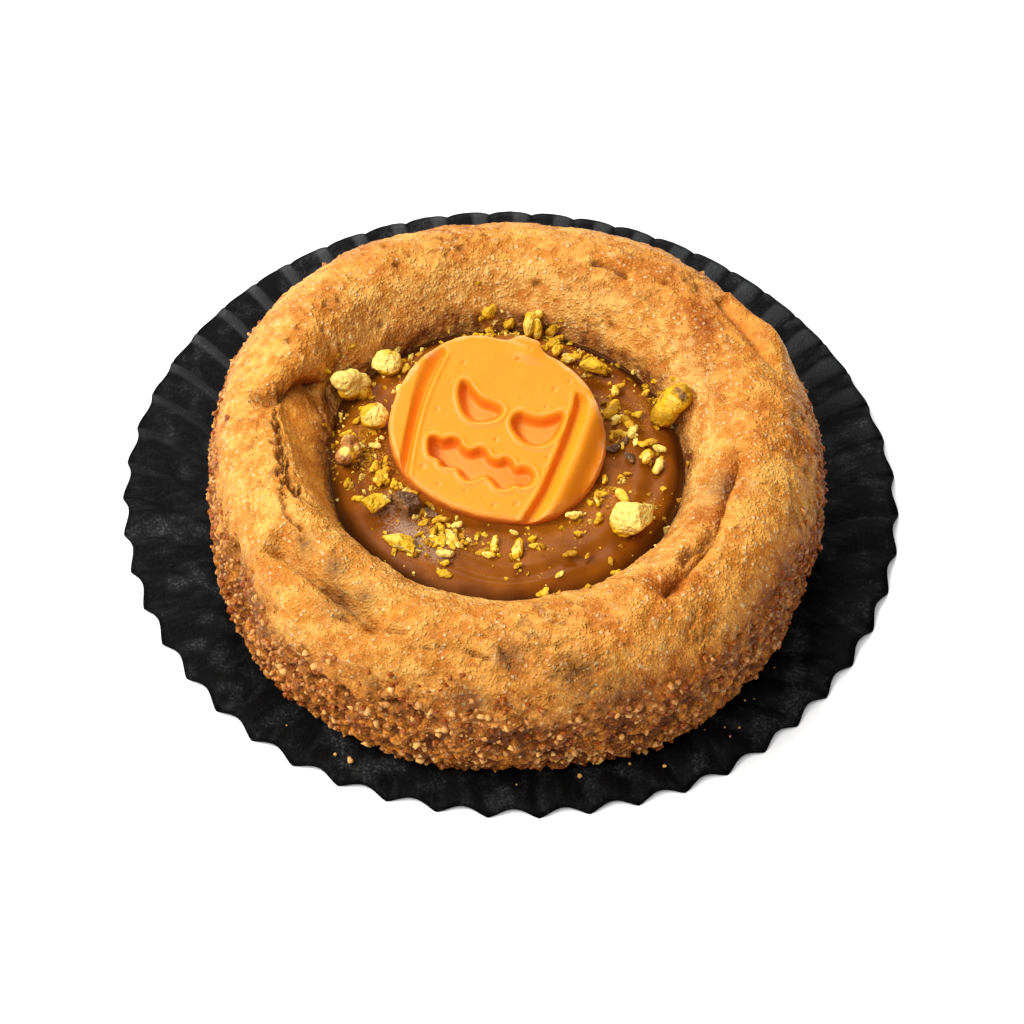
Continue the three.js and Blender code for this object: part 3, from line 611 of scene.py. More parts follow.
def baked_dough():
    """Golden crust of sandy dough, browner on the wall, with painted shade in its hollows and folds."""
    made, graph = start_material("baked_dough")
    place = graph.place()
    hollow, pale, inner = graph.value("hollow"), graph.value("pale"), graph.value("inner")
    foot, bake, sleek = graph.value("foot"), graph.value("bake"), graph.value("sleek")
    scorch, low = graph.value("scorch"), graph.value("low")
    crumb, coarse, beads, grit, sugar, pores = crust_tones(graph, place)
    # lighter on the tops of the beads and darker between them, as the bump is: partly the crust's own
    # grain, partly painted highlight and shade
    tone = graph.step(0.24 * crumb + 0.36 * coarse + 0.52 * beads + 0.26 * grit, 0.12, 0.98)
    golden = graph.mix(tone, srgb(206, 126, 36), srgb(252, 190, 94))
    browned_and_shaded = graph.mix(tone, srgb(174, 90, 20), srgb(238, 156, 62))
    color = graph.mix(bake, golden, browned_and_shaded)
    # darkest tone, where browning and painted shade run highest: mostly painted shade on the outer wall at
    # the right front
    burnt_and_shaded = graph.mix(tone, srgb(116, 48, 6), srgb(196, 108, 32))
    color = graph.mix(graph.step(bake, 0.8, 1.5) * 0.85, color, burnt_and_shaded)
    color = graph.mix(inner * 0.8, color, graph.mix(tone, srgb(200, 124, 44), srgb(255, 202, 112)))
    # paler tops of some grains: partly their own colour, partly painted highlight
    color = graph.mix(pale, color, srgb(252, 206, 132))
    wall = graph.mix(tone, srgb(106, 46, 4), srgb(228, 140, 44))
    color = graph.mix(foot * (1 - pale * 0.4), color, wall)
    streak = graph.step(graph.grain(place, 2.2, 4.0, 0.7), 0.4, 0.65)
    smooth = graph.mix(0.6 * streak + 0.4 * grit, srgb(198, 110, 28), srgb(250, 170, 66))
    color = graph.mix(sleek * 0.85, color, smooth)
    # painted shade low on the inner wall, where it meets the cream
    color = graph.mix(low * (0.5 + 0.5 * streak), color, srgb(118, 62, 26))
    color = graph.mix(sugar * (0.6 - 0.4 * sleek), color, srgb(254, 218, 158))
    color = graph.mix(scorch * (0.4 + 0.5 * crumb), color, srgb(106, 66, 40))
    # painted shade in the pores
    color = graph.mix(pores * (0.45 + 0.35 * inner) * (1 - sleek), color, srgb(104, 50, 14))
    # painted shade in crevices, pits, cracks and under folds
    color = graph.mix(hollow, color, srgb(92, 42, 12))
    height = 0.24 * crumb + 0.55 * beads + 0.12 * grit + 0.35 * sugar - 0.5 * pores + 0.2 * coarse
    return end_material(
        made, graph,
        Base_Color=color,
        Roughness=0.5 - 0.2 * sugar,
        Normal=graph.bump(height * (1 - 0.6 * sleek), 0.42, 1.0),
        Subsurface_Weight=0.06,
        Subsurface_Radius=(1.0, 0.4, 0.12),
        Subsurface_Scale=0.9 * MM,
        Specular_IOR_Level=0.13,
    )


def sugary_grain(name, deep, light):
    """Loose grains of dough and sugar that stick to the crust."""
    made, graph = start_material(name)
    place = graph.place()
    tint, out = graph.value("tint"), graph.value("out")
    fine = graph.grain(place, 0.35, 2.0)
    # painted shade: grains darker towards the right and where they sit close to the crust, with painted
    # highlight where they stand out
    shaded = graph.step(graph.split(place)[0], 12 * MM, 46 * MM)
    lightness = tint * 0.7 + 0.6 * out + 0.3 * fine - 0.3 * shaded
    color = graph.mix(graph.step(lightness, 0.35, 1.25), srgb(*deep), srgb(*light))
    return end_material(
        made, graph,
        Base_Color=color,
        Roughness=0.22,
        Normal=graph.bump(fine, 0.12, 0.8),
        Subsurface_Weight=0.22,
        Subsurface_Radius=(1.0, 0.42, 0.1),
        Subsurface_Scale=0.8 * MM,
        Specular_IOR_Level=0.26,
    )


def chocolate_cream():
    """Smooth milk chocolate cream with a soft gloss, dusted with nut and sugar."""
    made, graph = start_material("chocolate_cream")
    place = graph.place()
    broad = graph.step(graph.grain(place, 8.0, 2.0), 0.3, 0.7)
    smear = graph.step(graph.grain(place, 3.0, 4.0, 0.6), 0.45, 0.7)
    color = graph.mix(broad, srgb(122, 62, 5), srgb(150, 82, 12))
    color = graph.mix(smear * 0.4, color, srgb(92, 42, 4))
    # painted shade at the edge of the cream, next to the wall
    color = graph.mix(graph.value("edge") * 0.85, color, srgb(62, 28, 6))
    speck = graph.grain(place, 0.28, 1.0, 0.5)
    dust = graph.step(speck + 0.16 * graph.value("dust"), 0.66, 0.76)
    color = graph.mix(dust * graph.value("dust") * 0.6, color, srgb(190, 132, 36))
    frost = graph.value("frost") * graph.step(speck + 0.2 * graph.value("frost"), 0.55, 0.66)
    color = graph.mix(frost * 0.65, color, srgb(170, 142, 120))
    swirl = graph.grain(place, 2.2, 3.0, 0.4)
    return end_material(
        made, graph,
        Base_Color=color,
        Roughness=0.4 + 0.14 * smear + 0.2 * frost,
        Normal=graph.bump(swirl + 0.25 * dust + 0.3 * frost, 0.22, 0.45),
        Subsurface_Weight=0.05,
        Subsurface_Radius=(1.0, 0.4, 0.1),
        Subsurface_Scale=1.2 * MM,
        Specular_IOR_Level=0.08,
    )


def orange_chocolate():
    """Moulded orange chocolate, satin, with a powdery rim."""
    made, graph = start_material("orange_chocolate")
    place = graph.place()
    rim, depth, shade = graph.value("rim"), graph.value("depth"), graph.value("shade")
    cloud = graph.step(graph.grain(place, 4.0, 3.0), 0.35, 0.7)
    dust = graph.step(graph.grain(place, 0.45, 3.0, 0.4), 0.4, 0.65)
    color = graph.mix(cloud * 0.35, srgb(245, 150, 26), srgb(249, 160, 46))
    color = graph.mix(depth * 0.5, color, srgb(248, 150, 66))
    color = graph.mix(shade, color, srgb(226, 96, 2))
    color = graph.mix(rim * (0.45 + 0.55 * dust), color, srgb(255, 190, 124))
    return end_material(
        made, graph,
        Base_Color=color,
        Roughness=0.4 + 0.25 * rim,
        Normal=graph.bump(graph.grain(place, 0.6, 3.0) + rim * dust, 0.07, 0.5),
        Subsurface_Weight=0.2,
        Subsurface_Radius=(1.0, 0.3, 0.03),
        Subsurface_Scale=1.1 * MM,
        Specular_IOR_Level=0.3,
    )


def black_paper():
    """Greaseproof black paper with grey cloudy streaks that run out to its rim, and a painted sheen on one
    side of its pleats at the back.
    """
    made, graph = start_material("black_paper")
    place = graph.place()
    x, y, _ = graph.split(place)
    reach = graph.math("SQRT", x * x + y * y)
    around = graph.join(x / reach * (CASE.radius * MM), y / reach * (CASE.radius * MM), reach * 0.35)
    streak = graph.step(graph.grain(around, 1.5, 5.0), 0.46, 0.78)
    cloud = graph.step(graph.grain(place, 5.0, 5.0, 0.6), 0.48, 0.72)
    fibre = graph.step(graph.grain(place, 0.4, 4.0, 0.1), 0.44, 0.7)
    # painted sheen: one side of each pleat is lighter grey, more towards the back
    sided = graph.step(graph.value("facet"), 0.0, 0.8) * graph.step(y, -10.0 * MM, 50.0 * MM)
    grey = (streak * 0.4 + cloud * 0.8) * (0.15 + 0.85 * fibre) * 0.9 + 0.6 * sided
    color = graph.mix(grey, srgb(8, 8, 8), srgb(79, 80, 81))
    relief = graph.grain(place, 1.6, 4.0, 0.2) + 0.5 * fibre
    return end_material(
        made, graph,
        Base_Color=color,
        Roughness=0.65,
        Normal=graph.bump(relief, 0.3, 0.7),
        Specular_IOR_Level=0.08,
    )


def pistachio(name, skinned):
    """Chopped kernel: pale inside, yellow green outside, with brown skin in places."""
    made, graph = start_material(name)
    place = graph.place()
    tint, skin = graph.value("tint"), graph.value("skin")
    fine = graph.grain(place, 0.5, 3.0, 0.2)
    patch = graph.step(graph.grain(place, 1.6, 3.0), 0.4, 0.62)
    color = graph.mix(graph.step(tint, 0.0, 0.6), srgb(186, 132, 2), srgb(244, 190, 20))
    color = graph.mix(graph.step(tint, 0.5, 0.95), color, srgb(254, 222, 116))
    color = graph.mix(patch * (1 - tint) * 0.5, color, srgb(150, 108, 2))
    color = graph.mix(graph.step(fine, 0.52, 0.72) * 0.25, color, srgb(206, 136, 16))
    powder = graph.step(graph.grain(place, 0.3, 2.0, 0.4), 0.55, 0.68)
    shell = graph.mix(graph.step(tint, 0.0, 0.6), srgb(92, 56, 28), srgb(190, 126, 58))
    shell = graph.mix(powder * 0.5, shell, srgb(190, 160, 124))
    worn = graph.step(graph.grain(place, 1.5, 3.0, 0.8) + (skin - 0.5) * 1.1, 0.45, 0.6)
    color = graph.mix(worn * (1.0 if skinned else graph.step(skin, 0.05, 0.3)), color, shell)
    return end_material(
        made, graph,
        Base_Color=color,
        Roughness=0.5 + 0.15 * patch,
        Normal=graph.bump(fine + 0.7 * patch, 0.35, 1.0),
        Subsurface_Weight=0.12,
        Subsurface_Radius=(1.0, 0.7, 0.1),
        Subsurface_Scale=0.8 * MM,
        Specular_IOR_Level=0.35,
    )


def pale_floor():
    made, graph = start_material("pale_floor")
    return end_material(
        made, graph,
        Base_Color=(0.96, 0.96, 0.96, 1),
        Roughness=0.9,
        Emission_Color=(1, 1, 1, 1),
        Emission_Strength=0.12,
    )


# ---------------------------------------------------------------- paper case


def start_tree(name, **inputs):
    """A geometry tree with a named input for each size. Gives the tree and the inputs' wires."""
    tree = bpy.data.node_groups.new(name, "GeometryNodeTree")
    kinds = {int: "NodeSocketInt", float: "NodeSocketFloat"}
    tree.interface.new_socket("Geometry", in_out="INPUT", socket_type="NodeSocketGeometry")
    for label, value in inputs.items():
        socket = tree.interface.new_socket(label, in_out="INPUT", socket_type=kinds[type(value)])
        socket.default_value = value
    tree.interface.new_socket("Geometry", in_out="OUTPUT", socket_type="NodeSocketGeometry")
    graph = Graph(tree)
    group = tree.nodes.new("NodeGroupInput")
    wires = Sizes(**{s.name: Wire(graph, s) for s in group.outputs if s.name})
    return tree, graph, wires


def end_tree(graph, geometry, material, is_smooth=True):
    whole = graph.node("GeometryNodeRealizeInstances", {}, {0: geometry})
    smooth = graph.node("GeometryNodeSetShadeSmooth", {}, {"Geometry": whole, "Shade Smooth": is_smooth})
    dressed = graph.node("GeometryNodeSetMaterial", {}, {"Geometry": smooth, "Material": material})
    graph.node("NodeGroupOutput", {}, {0: dressed})


def grow(name, tree, values=None, start=None):
    """The tree's result, from a start mesh where it takes one, as a plain mesh object."""
    holder = add_object(name, start or bpy.data.meshes.new(name))
    modifier = holder.modifiers.new("Shape", "NODES")
    modifier.node_group = tree
    for socket in tree.interface.items_tree:
        if socket.in_out == "INPUT" and socket.name in (values or {}):
            modifier[socket.identifier] = values[socket.name]
    depsgraph = bpy.context.evaluated_depsgraph_get()
    evaluated = holder.evaluated_get(depsgraph)
    mesh = bpy.data.meshes.new_from_object(evaluated, preserve_all_data_layers=True, depsgraph=depsgraph)
    holder.modifiers.clear()
    holder.data = mesh
    mesh.name = name
    return holder


def paper_case_tree(material):
    """A fluted sheet, run from the middle of its underside out to the rim and back over its top."""
    tree, graph, size = start_tree(
        "fluted_paper",
        pleats=CASE.pleats, steps=14, rows=24,
        rim=CASE.radius, pressed=CASE.pressed, free=CASE.free, scallop=CASE.scallop,
        front_wave=CASE.front_wave, back_wave=CASE.back_wave, thickness=0.3, crinkle=0.35,
    )
    sheet = graph.node("GeometryNodeMeshGrid", {}, {
        "Size X": 1.0, "Size Y": 1.0,
        "Vertices X": size.pleats * size.steps + 1, "Vertices Y": size.rows * 2 + 1,
    })
    across, along, _ = graph.split(graph.node("GeometryNodeInputPosition"))
    turn = across + 0.5
    walk = (along + 0.5) * 2.0
    nearness = 1.0 - graph.math("ABSOLUTE", walk - 1.0)
    radial = nearness ** 0.6
    degrees = 360.0 * (turn - graph.math("GREATER_THAN", turn, 0.5))
    place, spread, amount = CASE.squeeze
    shift = CASE.drift + graph.bell(degrees - place, spread) * amount
    angle = graph.math("RADIANS", degrees + shift * 360.0 / size.pleats)
    cosine, sine = graph.math("COSINE", angle), graph.math("SINE", angle)
    fold = graph.math("ABSOLUTE", graph.math("SINE", turn * size.pleats * math.pi))
    bulge = sum(graph.bell(degrees - place, spread) * amount for place, spread, amount in CASE.bulges)
    share = graph.math("MAXIMUM", (size.rim * radial - size.pressed) / (size.rim - size.pressed), 0.0)
    radius = size.rim * radial + share * share * (bulge - size.scallop * fold ** 1.5)
    centre = 1.0 - graph.step(radial, 0.68, 1.0)
    x = radius * cosine + centre * DOUGH.x
    y = radius * sine + centre * DOUGH.y * graph.step(radial, 0.0, 0.68)
    away = graph.vector("LENGTH", graph.join(x - DOUGH.x, y - DOUGH.y, 0.0))
    away = Wire(graph, away.socket.node.outputs["Value"])
    growth = graph.step(away, size.pressed, size.free)
    wave = size.front_wave + (size.back_wave - size.front_wave) * (1.0 + sine) / 2.0
    ridges = graph.join(cosine * 60.0, sine * 60.0, radius * 0.25)
    wrinkle = graph.node("ShaderNodeTexNoise", {}, {"Vector": ridges, "Scale": 0.55, "Detail": 2.0}) - 0.5
    top = graph.math("GREATER_THAN", walk, 1.0)
    height = growth * (wave * fold + size.crinkle * graph.math("MAXIMUM", wrinkle, 0.0) * fold)
    height = height + top * size.thickness
    point = graph.vector("MULTIPLY", graph.join(x, y, height), (MM, MM, MM))
    # which side of a pleat a place faces, read by the paper's painted sheen
    facet = growth * graph.math("SINE", turn * size.pleats * math.tau)
    sided = graph.store(sheet, "facet", facet)
    shaped = graph.node("GeometryNodeSetPosition", {}, {"Geometry": sided, "Position": point})
    closed = graph.node("GeometryNodeMergeByDistance", {}, {"Geometry": shaped, "Distance": 0.004 * MM})
    end_tree(graph, closed, material)
    return tree


def paper_case():
    material = black_paper()
    made = grow("paper_case", paper_case_tree(material))
    return dress(made, material, "black_paper", "case")


# ---------------------------------------------------------------- dough

# Where the crust is scorched grey brown: (degrees, radius, height) and reach.
SCORCHED = [
    ((-125, 40.0, 23.8), 2.6), ((-120, 37.2, 24.3), 1.8), ((-89, 41.0, 23.4), 2.4),
    ((-77, 44.1, 21.4), 3.4), ((-70, 46.0, 18.5), 3.0), ((-139, 46.7, 16.2), 3.2),
    ((-146, 45.8, 16.6), 2.6), ((-17, 32.4, 22.8), 2.2), ((-138, 37.5, 24.5), 1.8),
    ((-129, 36.5, 24.4), 2.0), ((-95, 46.0, 18.0), 2.4), ((-89, 40.5, 23.7), 1.5),
]
# Where it is browner: (degrees, radius, height) and reach.
BROWNED = [
    ((38, 33.0, 23.2), 7.0), ((-47, 41.0, 23.0), 7.0), ((-28, 46.5, 14.0), 9.0),
    ((-52, 47.0, 13.0), 8.0), ((-18, 30.5, 21.0), 5.0), ((70, 42.0, 22.5), 4.0),
    ((128, 41.0, 22.5), 5.0),
]
# Where it is smooth, on the inner wall and in the groove on the right, in the same way.
SMOOTH_WALL = [((176, 30.5, 20), 5.5), ((190, 29.8, 19), 6.0), ((203, 29.5, 19), 4.5)]
SMOOTH_GROOVE = [((37, 40.3, 23.1), 1.7), ((31, 40.3, 23.1), 1.8), ((25, 40.5, 23.0), 1.6)]
# Crumbs that broke out of the crust: (degrees, radius, height).
PITS = [
    (70, 31.4, 23.0), (84, 30.0, 21.0), (63, 38.5, 24.3), (12, 31.6, 23.1), (-159, 42.9, 19.2),
    (-140, 37.5, 24.5), (122, 34.8, 24.1), (141, 34.3, 23.8), (-79, 40.3, 23.8), (-57, 41.6, 23.1),
    (-40, 43.4, 21.7), (151, 33, 23),
]
GRAIN = Sizes(
    rows=150,  # rings of points that show, from the foot to the cream
    sides=620,
    sand=0.075,  # height of the finest relief
    crumble=0.15,  # of the uneven crust
    pebble=0.26,  # of the grains of the crust
    pebble_size=1.7,
    granule=0.6,  # of the coarse grains low on the wall
    granule_size=1.6,
    pit=0.8,
    pit_width=0.4,
    pit_spacing=4.4,
)


def path_distance(points, path):
    """Distance to a smooth path, with 1 on its left side or -1 on its right, seen from above,
    and how far along it from 0 to 1."""
    knots = [polar_point(*knot) for knot in path]
    shares = np.linspace(0, 1, 14 * len(knots))
    line, ways = smooth_line(knots, shares * (len(knots) - 1))
    nearest = np.full(points.shape[:-1], 1e9)
    side, along = np.zeros_like(nearest), np.zeros_like(nearest)
    for share, knot, way in zip(shares, line, ways):
        offset = points - knot
        distance = np.einsum("...i,...i", offset, offset)
        closer = distance < nearest
        nearest = np.where(closer, distance, nearest)
        side = np.where(closer, way[0] * offset[..., 1] - way[1] * offset[..., 0], side)
        along = np.where(closer, share, along)
    return np.sqrt(nearest), np.sign(side), along


def crease_relief(bare):
    """How deep the folds and cracks run, and how much painted shade darkens them."""
    relief, dark = 0, np.zeros(bare.shape[:-1])
    coarse, fine, broken = noise(bare, 1.9, 5), noise(bare, 0.9, 6), noise(bare, 2.8, 9)
    strength = 0.7 + 0.3 * smoothstep(broken, -0.5, 0.1)
    for crease in CREASES:
        distance, side, along = path_distance(bare, crease.path)
        start, end = crease.ends
        share = smoothstep(along, -0.01, start) * smoothstep(along, 1.01, 1 - end)
        beside = distance * side + crease.wander * (coarse + 0.8 * fine)
        torn = bell(beside, 0.26 + 0.16 * crease.width * (1 + broken)) * share * strength
        relief = relief - share * crease.depth * bell(distance, crease.width) - crease.tear * torn
        lower = smoothstep(beside * np.sign(crease.step), -0.3, 0.4)
        relief = relief - abs(crease.step) * share * lower * bell(distance, 4.0)
        # painted shade: the torn line darkens, and the low side of a fold takes a painted shadow under its
        # raised edge
        browned_and_shaded = crease.shade * share * lower * bell(distance, 1.5)
        dark = np.maximum.reduce([dark, crease.dark * torn, 0.6 * browned_and_shaded])
    return relief, dark


def crust_relief(bare):
    """Broad relief, as in the solid: lumps, crags, folds, swellings."""
    relief = DOUGH.lump * noise(bare, DOUGH.lump_size, 3) + DOUGH.crag * noise(bare, DOUGH.crag_size, 7)
    relief = relief + 0.22 * noise(bare, 6.0, 8)
    folds, dark = crease_relief(bare)
    relief = relief + folds
    for at, reach, rise in SWELLS:
        relief = relief + rise * bell(np.linalg.norm(bare - polar_point(*at), axis=-1), reach)
    return relief, dark


def spots(bare, places):
    """1 in the middle of each place and 0 away from it; a place is (degrees, radius, height), reach."""
    total = 0
    for at, reach in places:
        total = np.maximum(total, bell(np.linalg.norm(bare - polar_point(*at), axis=-1), reach))
    return total


def pit_field(bare):
    nearest, _, number = cells(bare, GRAIN.pit_spacing, 57)
    distance = nearest * GRAIN.pit_spacing + 0.25 * noise(bare, 0.8, 58)
    scattered = bell(distance, GRAIN.pit_width * (0.6 + 0.8 * number)) * (number > 0.45)
    return np.maximum(scattered, spots(bare, [(at, 0.55) for at in PITS]))


def crust_grain(bare, foot, sleek):
    """Fine relief of the crust, and what its material reads from it."""
    near, second, number = cells(bare, GRAIN.granule_size, 21)
    wander = 0.35 * np.stack([noise(bare, 1.5, seed) for seed in (44, 45, 46)], -1)
    small_near, _, small_number = cells(bare + wander, GRAIN.pebble_size, 33)
    patch = 0.3 + 0.7 * smoothstep(noise(bare, 5, 35), -0.4, 0.6)
    rough = (1 - 0.85 * sleek) * patch
    dome = np.clip(1 - near ** 2 / 0.55, 0, 1)
    small_dome = np.clip(1 - small_near ** 2 / 0.4, 0, 1)
    sand = noise(bare, 1.1, 37) + 0.6 * noise(bare, 0.6, 38)
    crumbly = noise(bare, 2.4, 47) + 0.6 * noise(bare, 1.2, 48)
    craze = bell(noise(bare, 3.4, 41) + 0.4 * noise(bare, 1.1, 42), 0.07) * (1 - sleek)
    craze = craze * smoothstep(noise(bare, 9, 43), 0.0, 0.5) * (1 - foot)
    missing = foot * (number < 0.2)
    relief = GRAIN.sand * sand * (1 - 0.6 * sleek) + GRAIN.crumble * crumbly * rough
    relief += GRAIN.pebble * small_dome * rough * (1 + 0.6 * foot)
    relief += GRAIN.granule * (dome - 0.5) * foot * (1 - missing)
    crevice = foot * smoothstep(second - near, 0.2, 0.0)
    relief -= 0.35 * crevice + 0.6 * missing + 0.4 * craze
    pits = pit_field(bare) * (1 - sleek) * (1 - 0.5 * foot)
    relief -= GRAIN.pit * pits
    # painted shade in the crevices between granules, where granules are missing, in pits and in crazing
    hollow = np.maximum.reduce([0.9 * crevice, 0.85 * missing, 0.8 * pits, 0.5 * craze])
    # paler tops of some grains and granules: partly their own paler colour, partly painted highlight
    pale = rough * smoothstep(small_dome, 0.3, 0.95) * smoothstep(small_number, 0.5, 1.0) * 0.4
    pale = np.maximum(pale, 0.45 * foot * smoothstep(dome, 0.5, 1.0) * smoothstep(number, 0.3, 0.9))
    return relief, hollow, pale


def outline_wave(angles):
    return sum(h * np.cos(count * (angles - math.radians(crest))) for count, h, crest in DOUGH.waves)


def dough_surface(spans, angles, is_fine=True):
    """Points of the dough's skin, a row for each place along its section and a column for each
    angle round it, with the numbers that its material reads."""
    spans, angles = np.meshgrid(spans, angles, indexing="ij")
    section, along = smooth_line(DOUGH_SECTION, spans)
    radius, height = section[..., 0], section[..., 1]
    inward = smoothstep(spans, CROWN_SPAN - 2, CROWN_SPAN + 3)
    bare = np.stack([radius * np.cos(angles), radius * np.sin(angles), height], -1)
    broad, dark = crust_relief(bare)
    relief = broad * smoothstep(height, 1, 5) * (1 - 0.7 * smoothstep(spans, CROWN_SPAN + 3, LAST_SPAN - 1))
    values = {}
    if is_fine:
        outside = spans < CROWN_SPAN
        ragged = height + 2.6 * noise(bare, 7, 31) + 1.4 * noise(bare, 2.5, 32)
        foot = outside * smoothstep(ragged, 21.6, 9.5)
        tongue = spots(bare, SMOOTH_WALL)
        groove = spots(bare, SMOOTH_GROOVE)
        sleek = np.clip(np.maximum(1.2 * tongue, 1.2 * groove), 0, 1)
        inner = smoothstep(spans, CROWN_SPAN + 0.3, CROWN_SPAN + 2.0)
        inner = inner * smoothstep(noise(bare, 9, 39), -0.9, 0.1)
        # painted shade: the inner wall darkens towards the cream
        low = smoothstep(height + 1.6 * noise(bare, 2.6, 40), 18.6, 15.2) * (spans > CROWN_SPAN)
        fine, hollow, pale = crust_grain(bare, foot, sleek)
        showing = smoothstep(spans, CREAM.top_span + 0.6, CREAM.top_span - 0.3)
        relief = relief + fine * smoothstep(height, 0.9, 1.6) * showing
        facing = math.radians(20)
        # browner towards the right: partly browning, partly painted shade on the side away from the lamps
        bake = 0.34 + 0.28 * np.cos(angles - facing)
        bake = bake + 0.7 * noise(bare, 10, 61) + 0.4 * noise(bare, 4, 62)
        # painted shade: the outer wall is darkened towards the right front, low on the wall
        shaded = 0.3 + 0.7 * np.clip(np.cos(angles - math.radians(-35)), 0, 1)
        bake = bake + shaded * outside * smoothstep(height, 22.5, 12)
        bake = np.clip(bake + 0.5 * spots(bare, BROWNED), 0, 1.5)
        values = {
            "hollow": np.clip(np.maximum(hollow, dark), 0, 1), "pale": pale, "foot": foot,
            "sleek": sleek, "inner": inner, "bake": bake, "low": low, "scorch": spots(bare, SCORCHED),
        }
    reach = radius + outline_wave(angles) * (1 - 0.7 * inward) + relief * along[..., 1]
    points = np.stack([
        DOUGH.x + reach * np.cos(angles) + inward * DOUGH.well_shift[0],
        DOUGH.y + reach * np.sin(angles) + inward * DOUGH.well_shift[1],
        height - relief * along[..., 0],
    ], -1)
    return points, values


def cookie():
    hidden_rows = 5
    showing = np.linspace(0, CREAM.top_span + 0.3, GRAIN.rows)
    spans = np.concatenate([showing, np.linspace(CREAM.top_span + 0.3, LAST_SPAN, hidden_rows + 1)[1:]])
    angles = np.arange(GRAIN.sides) * 2 * math.pi / GRAIN.sides
    rings, values = dough_surface(spans, angles)
    start = (DOUGH.x, DOUGH.y, DOUGH_SECTION[0][1])
    end = (*WELL, DOUGH_SECTION[LAST_SPAN][1])
    made = ring_mesh("cookie_dough", start, rings, end, values)
    return dress(made, baked_dough(), "baked_dough", "cookie")


# ---------------------------------------------------------------- pumpkin


def pumpkin_matrix():
    turns = Euler([math.radians(t) for t in PUMPKIN.turns], "ZYX")
    return np.array(turns.to_matrix())


def from_pumpkin(points):
    """From places on the pumpkin's face to the frame."""
    return np.asarray(points) @ pumpkin_matrix().T + PUMPKIN.place


def to_pumpkin(points):
    return (np.asarray(points) - PUMPKIN.place) @ pumpkin_matrix()


def pumpkin_outline(angles, outside=0.0):
    cosine, sine = np.cos(angles), np.sin(angles)
    power = PUMPKIN.squareness
    total = np.abs(cosine / PUMPKIN.half_width) ** power + np.abs(sine / PUMPKIN.half_height) ** power
    reach = total ** (-1 / power) + outside
    for middle, spread, distance in PUMPKIN_BULGES:
        apart = (np.degrees(angles) - middle + 180) % 360 - 180
        reach = reach + distance * bell(apart, spread)
    beside = np.abs(reach * cosine - PUMPKIN.stem_x) / PUMPKIN.stem_half_width
    stem = np.where(sine > 0, 1 / (1 + beside ** 7), 0)
    return np.stack([reach * cosine, reach * sine + PUMPKIN.stem_height * stem], -1)


def closed_outline(knots):
    return smooth_line(knots, np.arange(len(knots) * 10) / 10, closed=True)[0]


def inside_distance(points, outline):
    """Distance to a closed outline, above zero inside it."""
    nearest = np.full(points.shape[:-1], 1e9)
    crossings = np.zeros(points.shape[:-1], int)
    for start, end in zip(outline, np.roll(outline, -1, axis=0)):
        edge = end - start
        offset = points - start
        share = np.clip(offset @ edge / (edge @ edge), 0, 1)
        nearest = np.minimum(nearest, np.linalg.norm(offset - share[..., None] * edge, axis=-1))
        spans_row = (start[1] > points[..., 1]) != (end[1] > points[..., 1])
        rise = edge[1] if abs(edge[1]) > 1e-9 else 1e-9
        at = start[0] + edge[0] * (points[..., 1] - start[1]) / rise
        crossings += spans_row & (points[..., 0] < at)
    return np.where(crossings % 2 == 1, nearest, -nearest)


def groove_x(y, knots):
    """Where a groove's bottom runs at a height on the face."""
    line = smooth_line(knots, np.linspace(0, len(knots) - 1, 121))[0]
    return np.interp(y, line[::-1, 1], line[::-1, 0])


# Air bubbles of the mould: (across, up) and radius.
BUBBLES = [
    (-8.0, 8.1, 0.28), (-0.6, 11.2, 0.26), (-8.8, 4.6, 0.18), (-9.2, -0.1, 0.27), (6.1, 8.5, 0.34),
    (5.8, 5.4, 0.2), (0.6, -1.8, 0.3), (8.7, -2.0, 0.3), (9.1, -3.7, 0.24), (-8.1, -9.3, 0.4),
    (-5.0, -11.1, 0.24), (3.7, -11.5, 0.28), (6.7, -10.2, 0.36), (-1.0, -10.7, 0.2), (7.8, 10.4, 0.24),
    (0.6, 13.3, 0.2),
]


def carved(flat):
    """How deep in the eyes or the mouth places on the face are, from 0 to 1, and how near their
    rims they lie."""
    sunk, rims = 0, 0
    for knots, wall in ((LEFT_EYE, 1.25), (RIGHT_EYE, 1.25), (MOUTH, 1.0)):
        inside = inside_distance(flat, closed_outline(knots))
        floor = 1 - 0.05 * (flat[..., 0] - np.mean(knots, axis=0)[0])
        sunk = np.maximum(sunk, smoothstep(inside, -0.1, wall) * floor)
        rims = np.maximum(rims, bell(inside + 0.35, 0.3))
    return sunk, rims


